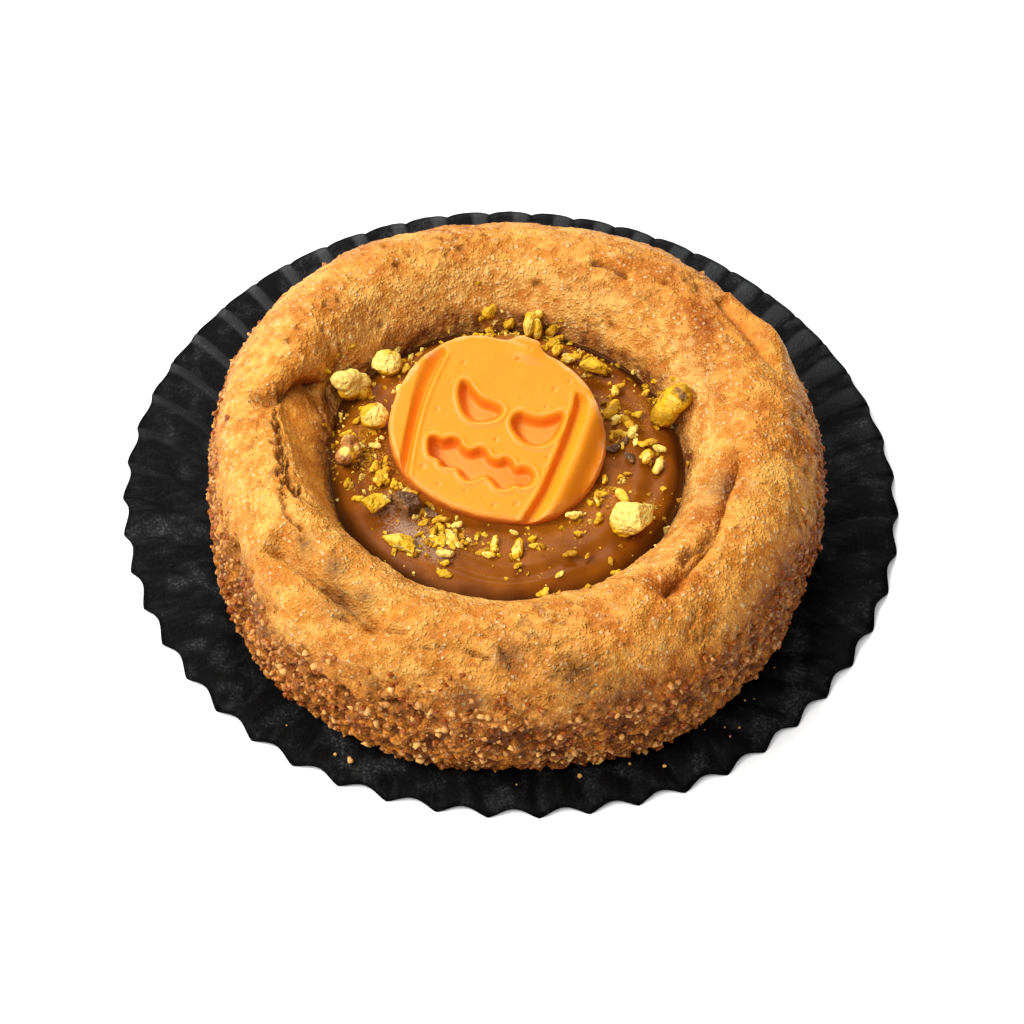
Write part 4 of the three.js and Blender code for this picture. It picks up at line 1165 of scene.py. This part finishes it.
def face_relief(flat, share):
    """Relief of the pumpkin's face at places on it, how deep in the eyes or mouth they are and
    how far down the walls of its grooves."""
    sunk, rims = carved(flat)
    relief = -PUMPKIN.recess * sunk + 0.13 * rims
    x, y = flat[..., 0], flat[..., 1]
    walls = 0
    for side, knots, top in ((-1, LEFT_GROOVE, 9.7), (1, RIGHT_GROOVE, 9.6)):
        beyond = side * (x - groove_x(y, knots))
        onto = smoothstep(share, 1.0, 0.985) * smoothstep(y, top, top - 1.7)
        width = PUMPKIN.rib_width if side > 0 else 1.3 + 0.9 * smoothstep(y, -4, 6)
        wall = smoothstep(beyond, -PUMPKIN.groove_wall, 0)
        relief = relief - PUMPKIN.groove_depth * wall * (1 - 1.06 * smoothstep(beyond, 0, width)) * onto
        relief = relief + 0.14 * bell(beyond + PUMPKIN.groove_wall + 0.3, 0.3) * onto
        steep = 0.8 * bell(beyond + 0.15, 0.4) + 0.15 * (1 + side) * bell(beyond - 0.7, 0.5)
        walls = np.maximum(walls, steep * onto)
    outer = x - groove_x(y, RIGHT_GROOVE) - PUMPKIN.rib_width
    fall = smoothstep(outer, 0.1, 3.3) * smoothstep(y, 10.5, 6.0)
    relief = relief - PUMPKIN.rib_fall * fall
    walls = np.maximum(walls, 0.5 * smoothstep(fall, 0.15, 0.7))
    for across, up, radius in BUBBLES:
        relief = relief - 0.2 * bell(np.hypot(x - across, y - up), radius)
    three = np.concatenate([flat, np.zeros_like(flat[..., :1])], -1)
    relief = relief + 0.05 * noise(three, 3.5, 71) + 0.02 * noise(three, 1.1, 72)
    relief = relief - 0.8 * smoothstep(y, 13.2, 15.4)
    stem = bell((x - PUMPKIN.stem_x - 0.6) / 1.9, 1) * smoothstep(y, 10.8, 12.3) * smoothstep(y, 14.6, 13.4)
    return relief + 0.35 * stem, np.clip(sunk, 0, 1), np.clip(walls, 0, 1.5)


def pumpkin():
    sides, face_rows, edge_rows = 480, 124, 36
    angles = np.arange(sides) * 2 * math.pi / sides
    outer = np.linspace(len(PUMPKIN_EDGE) - 1, 2, edge_rows)
    spans = np.concatenate([outer, np.linspace(2, 0, face_rows + 1)[1:-1]])
    edge = smooth_line(PUMPKIN_EDGE, spans)[0]
    share, height = edge[:, 0:1], np.broadcast_to(edge[:, 1:2], (len(spans), sides))
    flat = pumpkin_outline(angles)[None] * share[..., None]
    share = np.broadcast_to(share, flat.shape[:-1])
    relief, sunk, walls = face_relief(flat, share)
    solid = np.concatenate([flat, height[..., None]], -1)
    ragged = 0.006 * noise(solid, 2.5, 74) + 0.005 * noise(solid, 0.9, 75)
    ragged = 1 + ragged * smoothstep(share, 0.93, 0.98)
    flat = flat * ragged[..., None]
    rings = np.concatenate([flat, (height + relief * smoothstep(height, -4.5, -0.5))[..., None]], -1)
    middle_relief = face_relief(np.zeros((1, 2)), np.zeros(1))[0][0]
    start = from_pumpkin((0, 0, -PUMPKIN.thickness))
    end = from_pumpkin((0, 0, middle_relief))
    top = smoothstep(np.sin(angles), -0.35, 0.6)
    side = smoothstep(height, -0.25, -1.5)
    rim = smoothstep(share + 0.03 * noise(solid, 1.6, 76), 0.94, 0.985)
    values = {
        "rim": rim * lerp(0.25, 1, top) * (1 - 0.5 * side),
        "depth": sunk,
        "shade": np.maximum.reduce([0.7 * side, 0.6 * bell(sunk - 0.5, 0.32) * (sunk > 0.03), 0.5 * walls]),
    }
    made = ring_mesh("pumpkin_sweet", start, from_pumpkin(rings), end, values)
    return dress(made, orange_chocolate(), "orange_chocolate", "pumpkin")


# ---------------------------------------------------------------- cream


def cream_height(x, y):
    from_well = np.hypot(x - WELL[0], y - WELL[1])
    from_dome = np.hypot(x - CREAM.dome[0], y - CREAM.dome[1])
    return (
        CREAM.level
        + CREAM.dome_height * bell(from_dome, CREAM.dome_radius)
        + CREAM.ripple * bell(from_well - CREAM.ripple_radius, CREAM.ripple_width)
        - CREAM.edge_drop * smoothstep(from_well / WELL_RADIUS, CREAM.edge_start, 1.02) ** 2
    )


def pumpkin_distance(x, y, z):
    """How far a place lies outside the pumpkin's outline, measured on its face."""
    local = to_pumpkin(np.stack([x, y, z], -1))
    angles = np.arctan2(local[..., 1], local[..., 0])
    return np.hypot(local[..., 0], local[..., 1]) - np.linalg.norm(pumpkin_outline(angles), axis=-1)


def cream_surface_height(x, y):
    """The solid's height with what is finer: uneven swirls, and a dip below the pumpkin's chin."""
    height = cream_height(x, y)
    flat = np.stack([x, y, np.zeros_like(x)], -1)
    outside = np.clip(pumpkin_distance(x, y, height), 0, None)
    moat = -0.7 * bell(outside, 2.2) * smoothstep(y, -6, -18)
    from_well = np.hypot(x - WELL[0], y - WELL[1]) + 0.9 * noise(flat, 9, 83)
    uneven = 0.35 + 0.65 * smoothstep(noise(flat, 8, 84), -0.4, 0.5)
    off_ripple = np.hypot(x - WELL[0], y - WELL[1]) - CREAM.ripple_radius
    ripple = CREAM.ripple * bell(off_ripple, CREAM.ripple_width)
    ring = 0.5 * bell(from_well - 20.0, 1.5) + 0.35 * bell(from_well - 23.6, 1.1)
    ring = ring - 0.25 * bell(from_well - 22, 1.0)
    height = height - ripple * (1 - 0.35 * uneven) + ring * uneven
    return height + moat + 0.25 * noise(flat, 7, 81) + 0.09 * noise(flat, 3, 82)


def dusted(x, y):
    """How thickly fine grains lie at a place, from 0 up."""
    return sum(amount * bell(np.hypot(x - at[0], y - at[1]), reach) for at, reach, amount in DUSTED)


def cream():
    sides, top_rows, gap = 380, 110, 0.12
    angles = np.arange(sides) * 2 * math.pi / sides
    side_spans = np.linspace(LAST_SPAN, CREAM.top_span, 12)
    wall = dough_surface(side_spans, angles, is_fine=False)[0]
    wall[..., 0] -= gap * np.cos(angles)
    wall[..., 1] -= gap * np.sin(angles)
    wall[..., 2] += gap
    shares = (1 - np.linspace(0, 1, top_rows + 1)[1:-1] ** 1.25)[:, None]
    x = lerp(WELL[0], wall[-1, :, 0], shares)
    y = lerp(WELL[1], wall[-1, :, 1], shares)
    height = cream_surface_height(x, y)
    rise = smoothstep(shares, 1.0, 0.955)
    height = lerp(np.minimum(wall[-1, :, 2], height), height, rise)
    rings = np.concatenate([wall, np.stack([x, y, height], -1)])
    from_well = np.hypot(rings[..., 0] - WELL[0], rings[..., 1] - WELL[1])
    start = (*WELL, DOUGH_SECTION[LAST_SPAN][1] + gap)
    end = (*WELL, cream_surface_height(*WELL))
    across, along = rings[..., 0], rings[..., 1]
    values = {
        # where the cream takes painted shade next to the wall
        "edge": smoothstep(from_well, 24.0, 26.3),
        "dust": np.clip(dusted(across, along), 0, 1),
        "frost": sum(bell(np.hypot(across - x, along - y), reach) for x, y, reach in FROSTED),
    }
    made = ring_mesh("cream_filling", start, rings, end, values)
    return dress(made, chocolate_cream(), "chocolate_cream", "cream")


# ---------------------------------------------------------------- pistachios


def broken_reach(directions, number, facets=15, sharpness=18):
    """How far a broken, flat-sided piece reaches along each direction, and which side that is."""
    index = np.arange(facets)
    up = 1 - 2 * (index + 0.5) / facets
    around = 2.39996 * index + number
    ways = np.stack([np.sqrt(1 - up ** 2) * np.cos(around), np.sqrt(1 - up ** 2) * np.sin(around), up], -1)
    ways += 0.3 * np.stack([lattice_value(index, number, axis, 83) for axis in range(3)], -1)
    ways /= np.linalg.norm(ways, axis=-1, keepdims=True)
    offset = 0.84 + 0.16 * lattice_value(index, number, 7, 84)
    nearness = np.clip(directions @ ways.T, 1e-3, None) / offset
    return (nearness ** sharpness).sum(-1) ** (-1 / sharpness), nearness.argmax(-1)


def lobed_reach(directions, lobes, sharpness=8):
    """How far a piece of rounded lobes reaches along each direction from its middle."""
    total = 1e-9
    for place, radius in [((0, 0, 0), 0.38), *lobes]:
        ahead = directions @ np.array(place)
        inside = radius ** 2 - np.dot(place, place) + ahead ** 2
        far = ahead + np.sqrt(np.maximum(inside, 0))
        total = total + np.where((inside > 0) & (far > 0), far, 0) ** sharpness
    return total ** (1 / sharpness)


def sphere_faces(subdivisions):
    """Directions and faces of a ball of triangles."""
    ball = bmesh.new()
    bmesh.ops.create_icosphere(ball, subdivisions=subdivisions, radius=1)
    points = np.array([v.co for v in ball.verts])
    faces = [[v.index for v in f.verts] for f in ball.faces]
    ball.free()
    return points, faces


def turned(points, axis, degrees):
    way = Quaternion(axis, math.radians(degrees)).to_matrix()
    return points @ np.array(way).T


def nut(entry, number, materials):
    """A large piece in the box of its solid, sunk a little so that it lies on what is under it."""
    directions, faces = sphere_faces(5)
    reach, facet = broken_reach(directions, number, facets=11)
    if entry.lobes:
        reach = 0.85 * lobed_reach(directions, entry.lobes, 14) + 0.15 * reach
    knobbly = 0.07 * noise(directions, 0.45, 95) + 0.045 * noise(directions, 0.2, 96)
    reach = reach * (1 + knobbly + 0.02 * noise(directions, 0.1, 99))
    points = directions * reach[:, None]
    points -= (points.min(0) + points.max(0)) / 2
    points *= np.array(entry.size) / np.ptp(points, axis=0)
    outward = math.degrees(math.atan2(entry.y - WELL[1], entry.x - WELL[0]))
    points = turned(points, (0, 0, 1), entry.turn - outward)
    points = turned(points, (0, 1, 0), -entry.lean)
    points = turned(points, (0, 0, 1), outward)
    node = f"nut_{number:02d}"
    low, high = (np.array(corner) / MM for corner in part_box(node))
    points += (low + high) / 2 - (points.min(0) + points.max(0)) / 2
    sunk = 0.45
    points[:, 2] -= sunk
    up = smoothstep(points[:, 2], points[:, 2].min(), points[:, 2].max())
    cut_face = 0.3 * lattice_value(facet, number, 3, 85)
    # painted light: each piece is paler towards its top
    lit = 0.2 + 0.9 * smoothstep(up, 0.15, 0.75)
    tint = np.clip(entry.pale * lit + cut_face + 0.15 * noise(directions, 0.6, 97), 0, 1)
    skin = np.clip(entry.skin + 0.25 * noise(directions, 0.9, 98), 0, 1) * (entry.skin > 0)
    made = mesh_object(f"pistachio_{number:02d}", points, faces, {"tint": tint, "skin": skin})
    slot = "pistachio_skin" if entry.skin > SKIN_SLOT_SHARE else "pistachio"
    return dress(made, materials[slot], slot, node)


def nuts(materials):
    for number, entry in enumerate(NUTS, start=1):
        nut(entry, number, materials)


def is_free(x, y, reach):
    """True where a grain lies clear of the pumpkin, the large pieces and the wall."""
    room = reach + CRUMBS.margin
    local = to_pumpkin((x, y, cream_height(x, y)))
    outline = pumpkin_outline(math.atan2(local[1], local[0]), room)
    if math.hypot(local[0], local[1]) < np.linalg.norm(outline):
        return False
    if any(math.hypot(x - n.x, y - n.y) < n.size[0] / 2 + room for n in NUTS):
        return False
    return math.hypot(x - WELL[0], y - WELL[1]) < WELL_RADIUS - room - 1.5


def crowding(degrees):
    total = CRUMBS.sparse + sum(bell(degrees - angle, spread) for angle, spread in CRUMBS.crowds)
    return min(total, 1)


def solid_grains():
    """The grains of the solid: place, size and turn of each."""
    grains, draw = [], 0
    while len(grains) < CRUMBS.count:
        dice = [(1 + lattice_value(draw, slot, 0, CRUMBS.seed)) / 2 for slot in range(8)]
        angle = 2 * math.pi * dice[1]
        radius = lerp(CRUMBS.inner_radius, WELL_RADIUS, dice[2])
        x, y = WELL[0] + radius * math.cos(angle), WELL[1] + radius * math.sin(angle)
        reach = lerp(CRUMBS.smallest, CRUMBS.largest, dice[3] ** 2)
        if is_free(x, y, reach) and dice[7] < crowding(math.degrees(angle)):
            size = reach * np.array([1, lerp(0.6, 0.9, dice[4]), lerp(0.6, 0.8, dice[5])])
            grains.append(((x, y, cream_height(x, y) + 0.25 * reach), size, 2 * math.pi * dice[6]))
        draw += 1
    return grains


# ---------------------------------------------------------------- grains and crumbs


def broken_crumbs(graph, count, corners, seed):
    """Several flat-sided chips of unit radius: the hulls of a few random corners."""
    shapes = []
    for number in range(count):
        way = random(graph, (-1.0, -1.0, -1.0), (1.0, 1.0, 1.0), seed + 60 + number)
        way = graph.vector("NORMALIZE", way)
        knots = graph.node("GeometryNodePoints", {}, {"Count": corners, "Position": way})
        hull = graph.node("GeometryNodeConvexHull", {}, {0: knots})
        shapes.append(graph.node("GeometryNodeGeometryToInstance", {}, {0: hull}))
    return graph.node("GeometryNodeJoinGeometry", {}, {0: shapes})


def random(graph, low, high, seed):
    """A random number for each point."""
    kind = "FunctionNodeRandomValue"
    if isinstance(low, tuple):
        return graph.node(kind, {"data_type": "FLOAT_VECTOR"}, {0: low, 1: high, "Seed": seed})
    return graph.node(kind, {"data_type": "FLOAT"}, {2: low, 3: high, "Seed": seed}, 1)


def scatter_tree(name, material, shapes, corners, seed, is_smooth):
    """Grains over a surface, no nearer than a spacing, more where the surface carries more of
    the number named crowd. Their number named out is how far a place stands off the surface."""
    tree, graph, size = start_tree(
        name, spacing=1.0, density=1.0, smallest=0.3, largest=0.6, sink=0.3, bias=2.2,
    )
    crowd = graph.node("GeometryNodeInputNamedAttribute", {"data_type": "FLOAT"}, {"Name": "crowd"})
    spread = tree.nodes.new("GeometryNodeDistributePointsOnFaces")
    spread.distribute_method = "POISSON"
    spread.inputs["Seed"].default_value = seed
    for label, wire in {"Mesh": size.Geometry, "Distance Min": size.spacing * MM, "Density Factor": crowd,
                        "Density Max": size.density / (MM * MM)}.items():
        tree.links.new(wire.socket, spread.inputs[label])
    points, normal = Wire(graph, spread.outputs["Points"]), Wire(graph, spread.outputs["Normal"])
    reach = size.smallest + (size.largest - size.smallest) * random(graph, 0.0, 1.0, seed + 1) ** size.bias
    reach = reach * MM
    squash = random(graph, (0.75, 0.6, 0.55), (1.15, 1.0, 0.9), seed + 2)
    scale = graph.vector("MULTIPLY", squash, graph.join(reach, reach, reach))
    sunk = graph.vector("MULTIPLY", normal, graph.join(*[-(reach * size.sink)] * 3))
    settled = graph.node("GeometryNodeSetPosition", {}, {"Geometry": points, "Offset": sunk})
    chips = broken_crumbs(graph, shapes, corners, seed)
    placed = graph.node("GeometryNodeInstanceOnPoints", {}, {
        "Points": settled, "Instance": chips, "Pick Instance": True,
        "Rotation": random(graph, (0.0, 0.0, 0.0), (6.28, 6.28, 6.28), seed + 3), "Scale": scale,
    })
    tinted = graph.store(placed, "tint", random(graph, 0.0, 1.0, seed + 4), "INSTANCE")
    whole = graph.node("GeometryNodeRealizeInstances", {}, {0: tinted})
    gap = graph.node("GeometryNodeProximity", {"target_element": "FACES"}, {"Geometry": size.Geometry}, 1)
    marked = graph.store(whole, "out", graph.step(gap, 0.0, size.largest * MM))
    end_tree(graph, marked, material, is_smooth)
    return tree


def crowd_mesh(piece, name, crowd):
    """A copy of a piece's mesh that carries how crowded the grains are on it."""
    mesh = piece.data.copy()
    mesh.name = name
    attribute = mesh.attributes.new("crowd", "FLOAT", "POINT")
    attribute.data.foreach_set("value", np.asarray(crowd, np.float32))
    return mesh


def mesh_points(piece):
    points = np.empty(len(piece.data.vertices) * 3, np.float32)
    piece.data.vertices.foreach_get("co", points)
    return points.reshape(-1, 3) / MM


def mesh_values(piece, label):
    numbers = np.empty(len(piece.data.vertices), np.float32)
    piece.data.attributes[label].data.foreach_get("value", numbers)
    return numbers


def scattered(name, ground, crowd, material, seed, shapes, corners=14, is_smooth=True, **sizes):
    """Grains of a few shapes over a piece, more where it is crowded."""
    tree = scatter_tree(f"{name}_tree", material, shapes, corners, seed, is_smooth)
    return grow(name, tree, sizes, crowd_mesh(ground, f"{name}_ground", crowd))


def wall_granules(dough, material):
    """Coarse grains that stand out of the lower wall."""
    foot, height = mesh_values(dough, "foot"), mesh_points(dough)[:, 2]
    clumps = 0.4 + 0.6 * smoothstep(noise(mesh_points(dough), 3, 101), -0.3, 0.4)
    crowd = smoothstep(foot, 0.02, 0.5) * smoothstep(height, 0.95, 1.8) * clumps
    made = scattered("wall_granules", dough, crowd, material, seed=11, shapes=8, spacing=0.68,
                     density=1.9, smallest=0.3, largest=0.92, sink=0.12, bias=1.8)
    return dress(made, material, "baked_dough")


def crust_sugar(dough, material):
    """Small grains over the rest of the crust."""
    foot, sleek = mesh_values(dough, "foot"), mesh_values(dough, "sleek")
    inner, height = mesh_values(dough, "inner"), mesh_points(dough)[:, 2]
    patch = smoothstep(noise(mesh_points(dough), 4, 103), -0.2, 0.6)
    crowd = (1 - 0.8 * sleek) * (1 - 0.4 * inner) * (0.2 + 0.8 * patch) * smoothstep(height, 2, 6)
    made = scattered("crust_sugar", dough, crowd * (1 - 0.5 * foot), material, seed=23, shapes=6,
                     corners=10, spacing=0.5, density=1.1, smallest=0.12, largest=0.38, sink=0.4,
                     bias=2.4)
    return dress(made, material, "baked_dough")


def nut_crumbs(filling, dough, material):
    """Fine grains of pistachio round the pumpkin and, few, on the crust."""
    for label, ground, seed in (("cream", filling, 31), ("crust", dough, 47)):
        points = mesh_points(ground)
        x, y, z = points.T
        from_well = np.hypot(x - WELL[0], y - WELL[1])
        crowd = dusted(x, y)
        clumps = smoothstep(noise(points, 2.6, 111) + 0.6 * noise(points, 1.1, 112), -0.25, 0.7)
        crowd = (0.04 + 0.96 * np.clip(crowd, 0, 1)) * (0.06 + 0.94 * clumps)
        if label == "cream":
            crowd = crowd * (pumpkin_distance(x, y, z) > 0.3) * (z > 13.0) * smoothstep(from_well, 27.5, 26)
        else:
            crowd = 0.35 * crowd * (z > 13.5) * smoothstep(from_well, 34, 27) * (from_well < 36)
        made = scattered(f"pistachio_crumbs_{label}", ground, crowd, material, seed=seed, shapes=8,
                         corners=9, is_smooth=False, spacing=0.34, density=7.0, smallest=0.14,
                         largest=0.9, sink=-0.1, bias=2.8)
        skin = made.data.attributes.new("skin", "FLOAT", "POINT")
        skin.data.foreach_set("value", [0.0] * len(made.data.vertices))
        dress(made, material, "pistachio")


def joined(name, shapes, faces, values):
    """One mesh of many closed shapes that have the same faces."""
    starts = len(shapes[0]) * np.arange(len(shapes))[:, None, None]
    all_faces = (np.array(faces) + starts).reshape(-1, 3).tolist()
    return mesh_object(name, np.concatenate(shapes), all_faces, values)


def curled(directions, number):
    """How far a small curled or chipped piece of three lobes reaches along each direction."""
    draw = [lattice_value(number, slot, 4, 87) for slot in range(7)]
    lobes = [((-0.5, 0.25 * draw[0], 0.2 * draw[1]), 0.45 + 0.1 * draw[2]),
             ((0.5, 0.4 * draw[3], 0.2), 0.42 + 0.1 * draw[4]),
             ((0.1 * draw[5], -0.2 + 0.3 * draw[6], 0), 0.4)]
    broken, facet = broken_reach(directions, 200 + number, facets=9)
    return 0.7 * lobed_reach(directions, lobes, 12) + 0.3 * broken, facet


def large_grains(material):
    """The grains that the solid carries and the middling pieces, half sunk in the cream."""
    pieces = [(place, size, math.degrees(turn), None, 0.0) for place, size, turn in solid_grains()]
    for x, y, length, turn, tint, skin in GRAINS:
        size = np.array([0.5, 0.38, 0.26 if skin > 0.5 else 0.32]) * length
        pieces.append(((x, y, cream_height(x, y) + 0.45 * size[2]), size, turn, tint, skin))
    for x, y, z, length, turn, tint in PERCHED:
        pieces.append(((x, y, z), np.array([0.36, 0.36, 0.5]) * length, turn, tint, 0.0))
    directions, faces = sphere_faces(3)
    shapes, tints, skins = [], [], []
    for number, (place, size, turn, tint, skin) in enumerate(pieces):
        reach, facet = curled(directions, number)
        shaped = directions * (reach * (1.05 + 0.12 * noise(directions, 0.45, 220)))[:, None]
        shapes.append(turned(shaped * size, (0, 0, 1), turn) + place)
        shade = (1 + lattice_value(number, 3, 5, 9)) / 2 if tint is None else tint
        tints.append(np.clip(shade + 0.25 * lattice_value(facet, number, 2, 86), 0, 1))
        skins.append(np.full(len(shaped), skin))
    values = {"tint": np.concatenate(tints), "skin": np.concatenate(skins)}
    return dress(joined("pistachio_grains", shapes, faces, values), material, "pistachio")


def loose_crumbs(case, material):
    """Crumbs that fell on the paper."""
    paper = mesh_points(case)
    directions, faces = sphere_faces(2)
    shapes = []
    for number, (x, y, reach) in enumerate(LOOSE_CRUMBS):
        under = paper[np.hypot(paper[:, 0] - x, paper[:, 1] - y) < 1.5][:, 2].max()
        shaped = directions * broken_reach(directions, 400 + number)[0][:, None] * reach
        shapes.append(shaped + np.array([x, y, under + 0.5 * reach]))
    pale = np.full(len(shapes) * len(directions), 0.8)
    made = joined("loose_crumbs", shapes, faces, {"tint": pale, "out": pale})
    return dress(made, material, "baked_dough")


# ---------------------------------------------------------------- floor, light and camera

VIEW = Sizes(
    elevation=50.7,  # degrees above the table
    distance=360.0,
    aim=(0.17, -5.33, 0.0),
    lens=81.45,
    roll=2.633,  # degrees
)


def floor():
    half = 3.0
    corners = [(-half, -half), (half, -half), (half, half), (-half, half)]
    mesh = bpy.data.meshes.new("floor")
    mesh.from_pydata([(x, y, -0.05 * MM) for x, y in corners], [], [(0, 1, 2, 3)])
    made = add_object("floor", mesh)
    made.data.materials.append(pale_floor())


# Square lamps: place in metres, side, power in watts and tint.
LAMPS = {
    "window": ((-0.66, -0.06, 0.78), 0.36, 7.8, (1.0, 0.99, 0.97)),
    "window_front": ((-0.5, -0.42, 0.8), 0.4, 3.9, (1, 1, 1)),
    "back": ((-0.12, 0.72, 0.72), 0.38, 6.0, (1, 1, 1)),
    "front_fill": ((0.0, -0.4, 0.93), 0.42, 2.9, (1, 1, 1)),
}
ROOM_LIGHT = 0.045


def soft_light(name, place, size, power, tint):
    """A square lamp that faces the cookie."""
    lamp = bpy.data.lights.new(name, "AREA")
    lamp.size = size
    lamp.energy = power
    lamp.color = tint
    made = bpy.data.objects.new(name, lamp)
    made.location = place
    made.rotation_euler = (-Vector(place)).to_track_quat("-Z", "Y").to_euler()
    bpy.context.scene.collection.objects.link(made)


def studio():
    for name, lamp in LAMPS.items():
        soft_light(name, *lamp)
    world = bpy.data.worlds.new("room")
    world.use_nodes = True
    sky = world.node_tree.nodes["Background"]
    sky.inputs["Color"].default_value = (1, 1, 1, 1)
    sky.inputs["Strength"].default_value = ROOM_LIGHT
    bpy.context.scene.world = world
    bpy.context.scene.view_settings.view_transform = "Standard"


def camera():
    lens = bpy.data.cameras.new("camera")
    lens.lens = VIEW.lens
    lens.sensor_width = 36.0
    lens.clip_start, lens.clip_end = 0.01, 20.0
    made = bpy.data.objects.new("camera", lens)
    angle = math.radians(VIEW.elevation)
    made.location = Vector((0, -math.cos(angle), math.sin(angle))) * VIEW.distance * MM
    ahead = Vector(VIEW.aim) * MM - made.location
    level = ahead.to_track_quat("-Z", "Y")
    made.rotation_mode = "QUATERNION"
    made.rotation_quaternion = level @ Quaternion((0, 0, 1), math.radians(VIEW.roll))
    bpy.context.scene.collection.objects.link(made)
    bpy.context.scene.camera = made


# ---------------------------------------------------------------- the whole


def build():
    case = paper_case()
    dough = cookie()
    filling = cream()
    pumpkin()
    kernels = {
        "pistachio": pistachio("pistachio", False),
        "pistachio_skin": pistachio("pistachio_skin", True),
    }
    nuts(kernels)
    large_grains(kernels["pistachio"])
    nut_crumbs(filling, dough, kernels["pistachio"])
    wall_grain = sugary_grain("wall_grain", (148, 68, 6), (250, 188, 106))
    wall_granules(dough, wall_grain)
    loose_crumbs(case, wall_grain)
    crust_sugar(dough, sugary_grain("sugar_grain", (206, 132, 54), (252, 212, 138)))
    floor()
    studio()
    camera()


build()
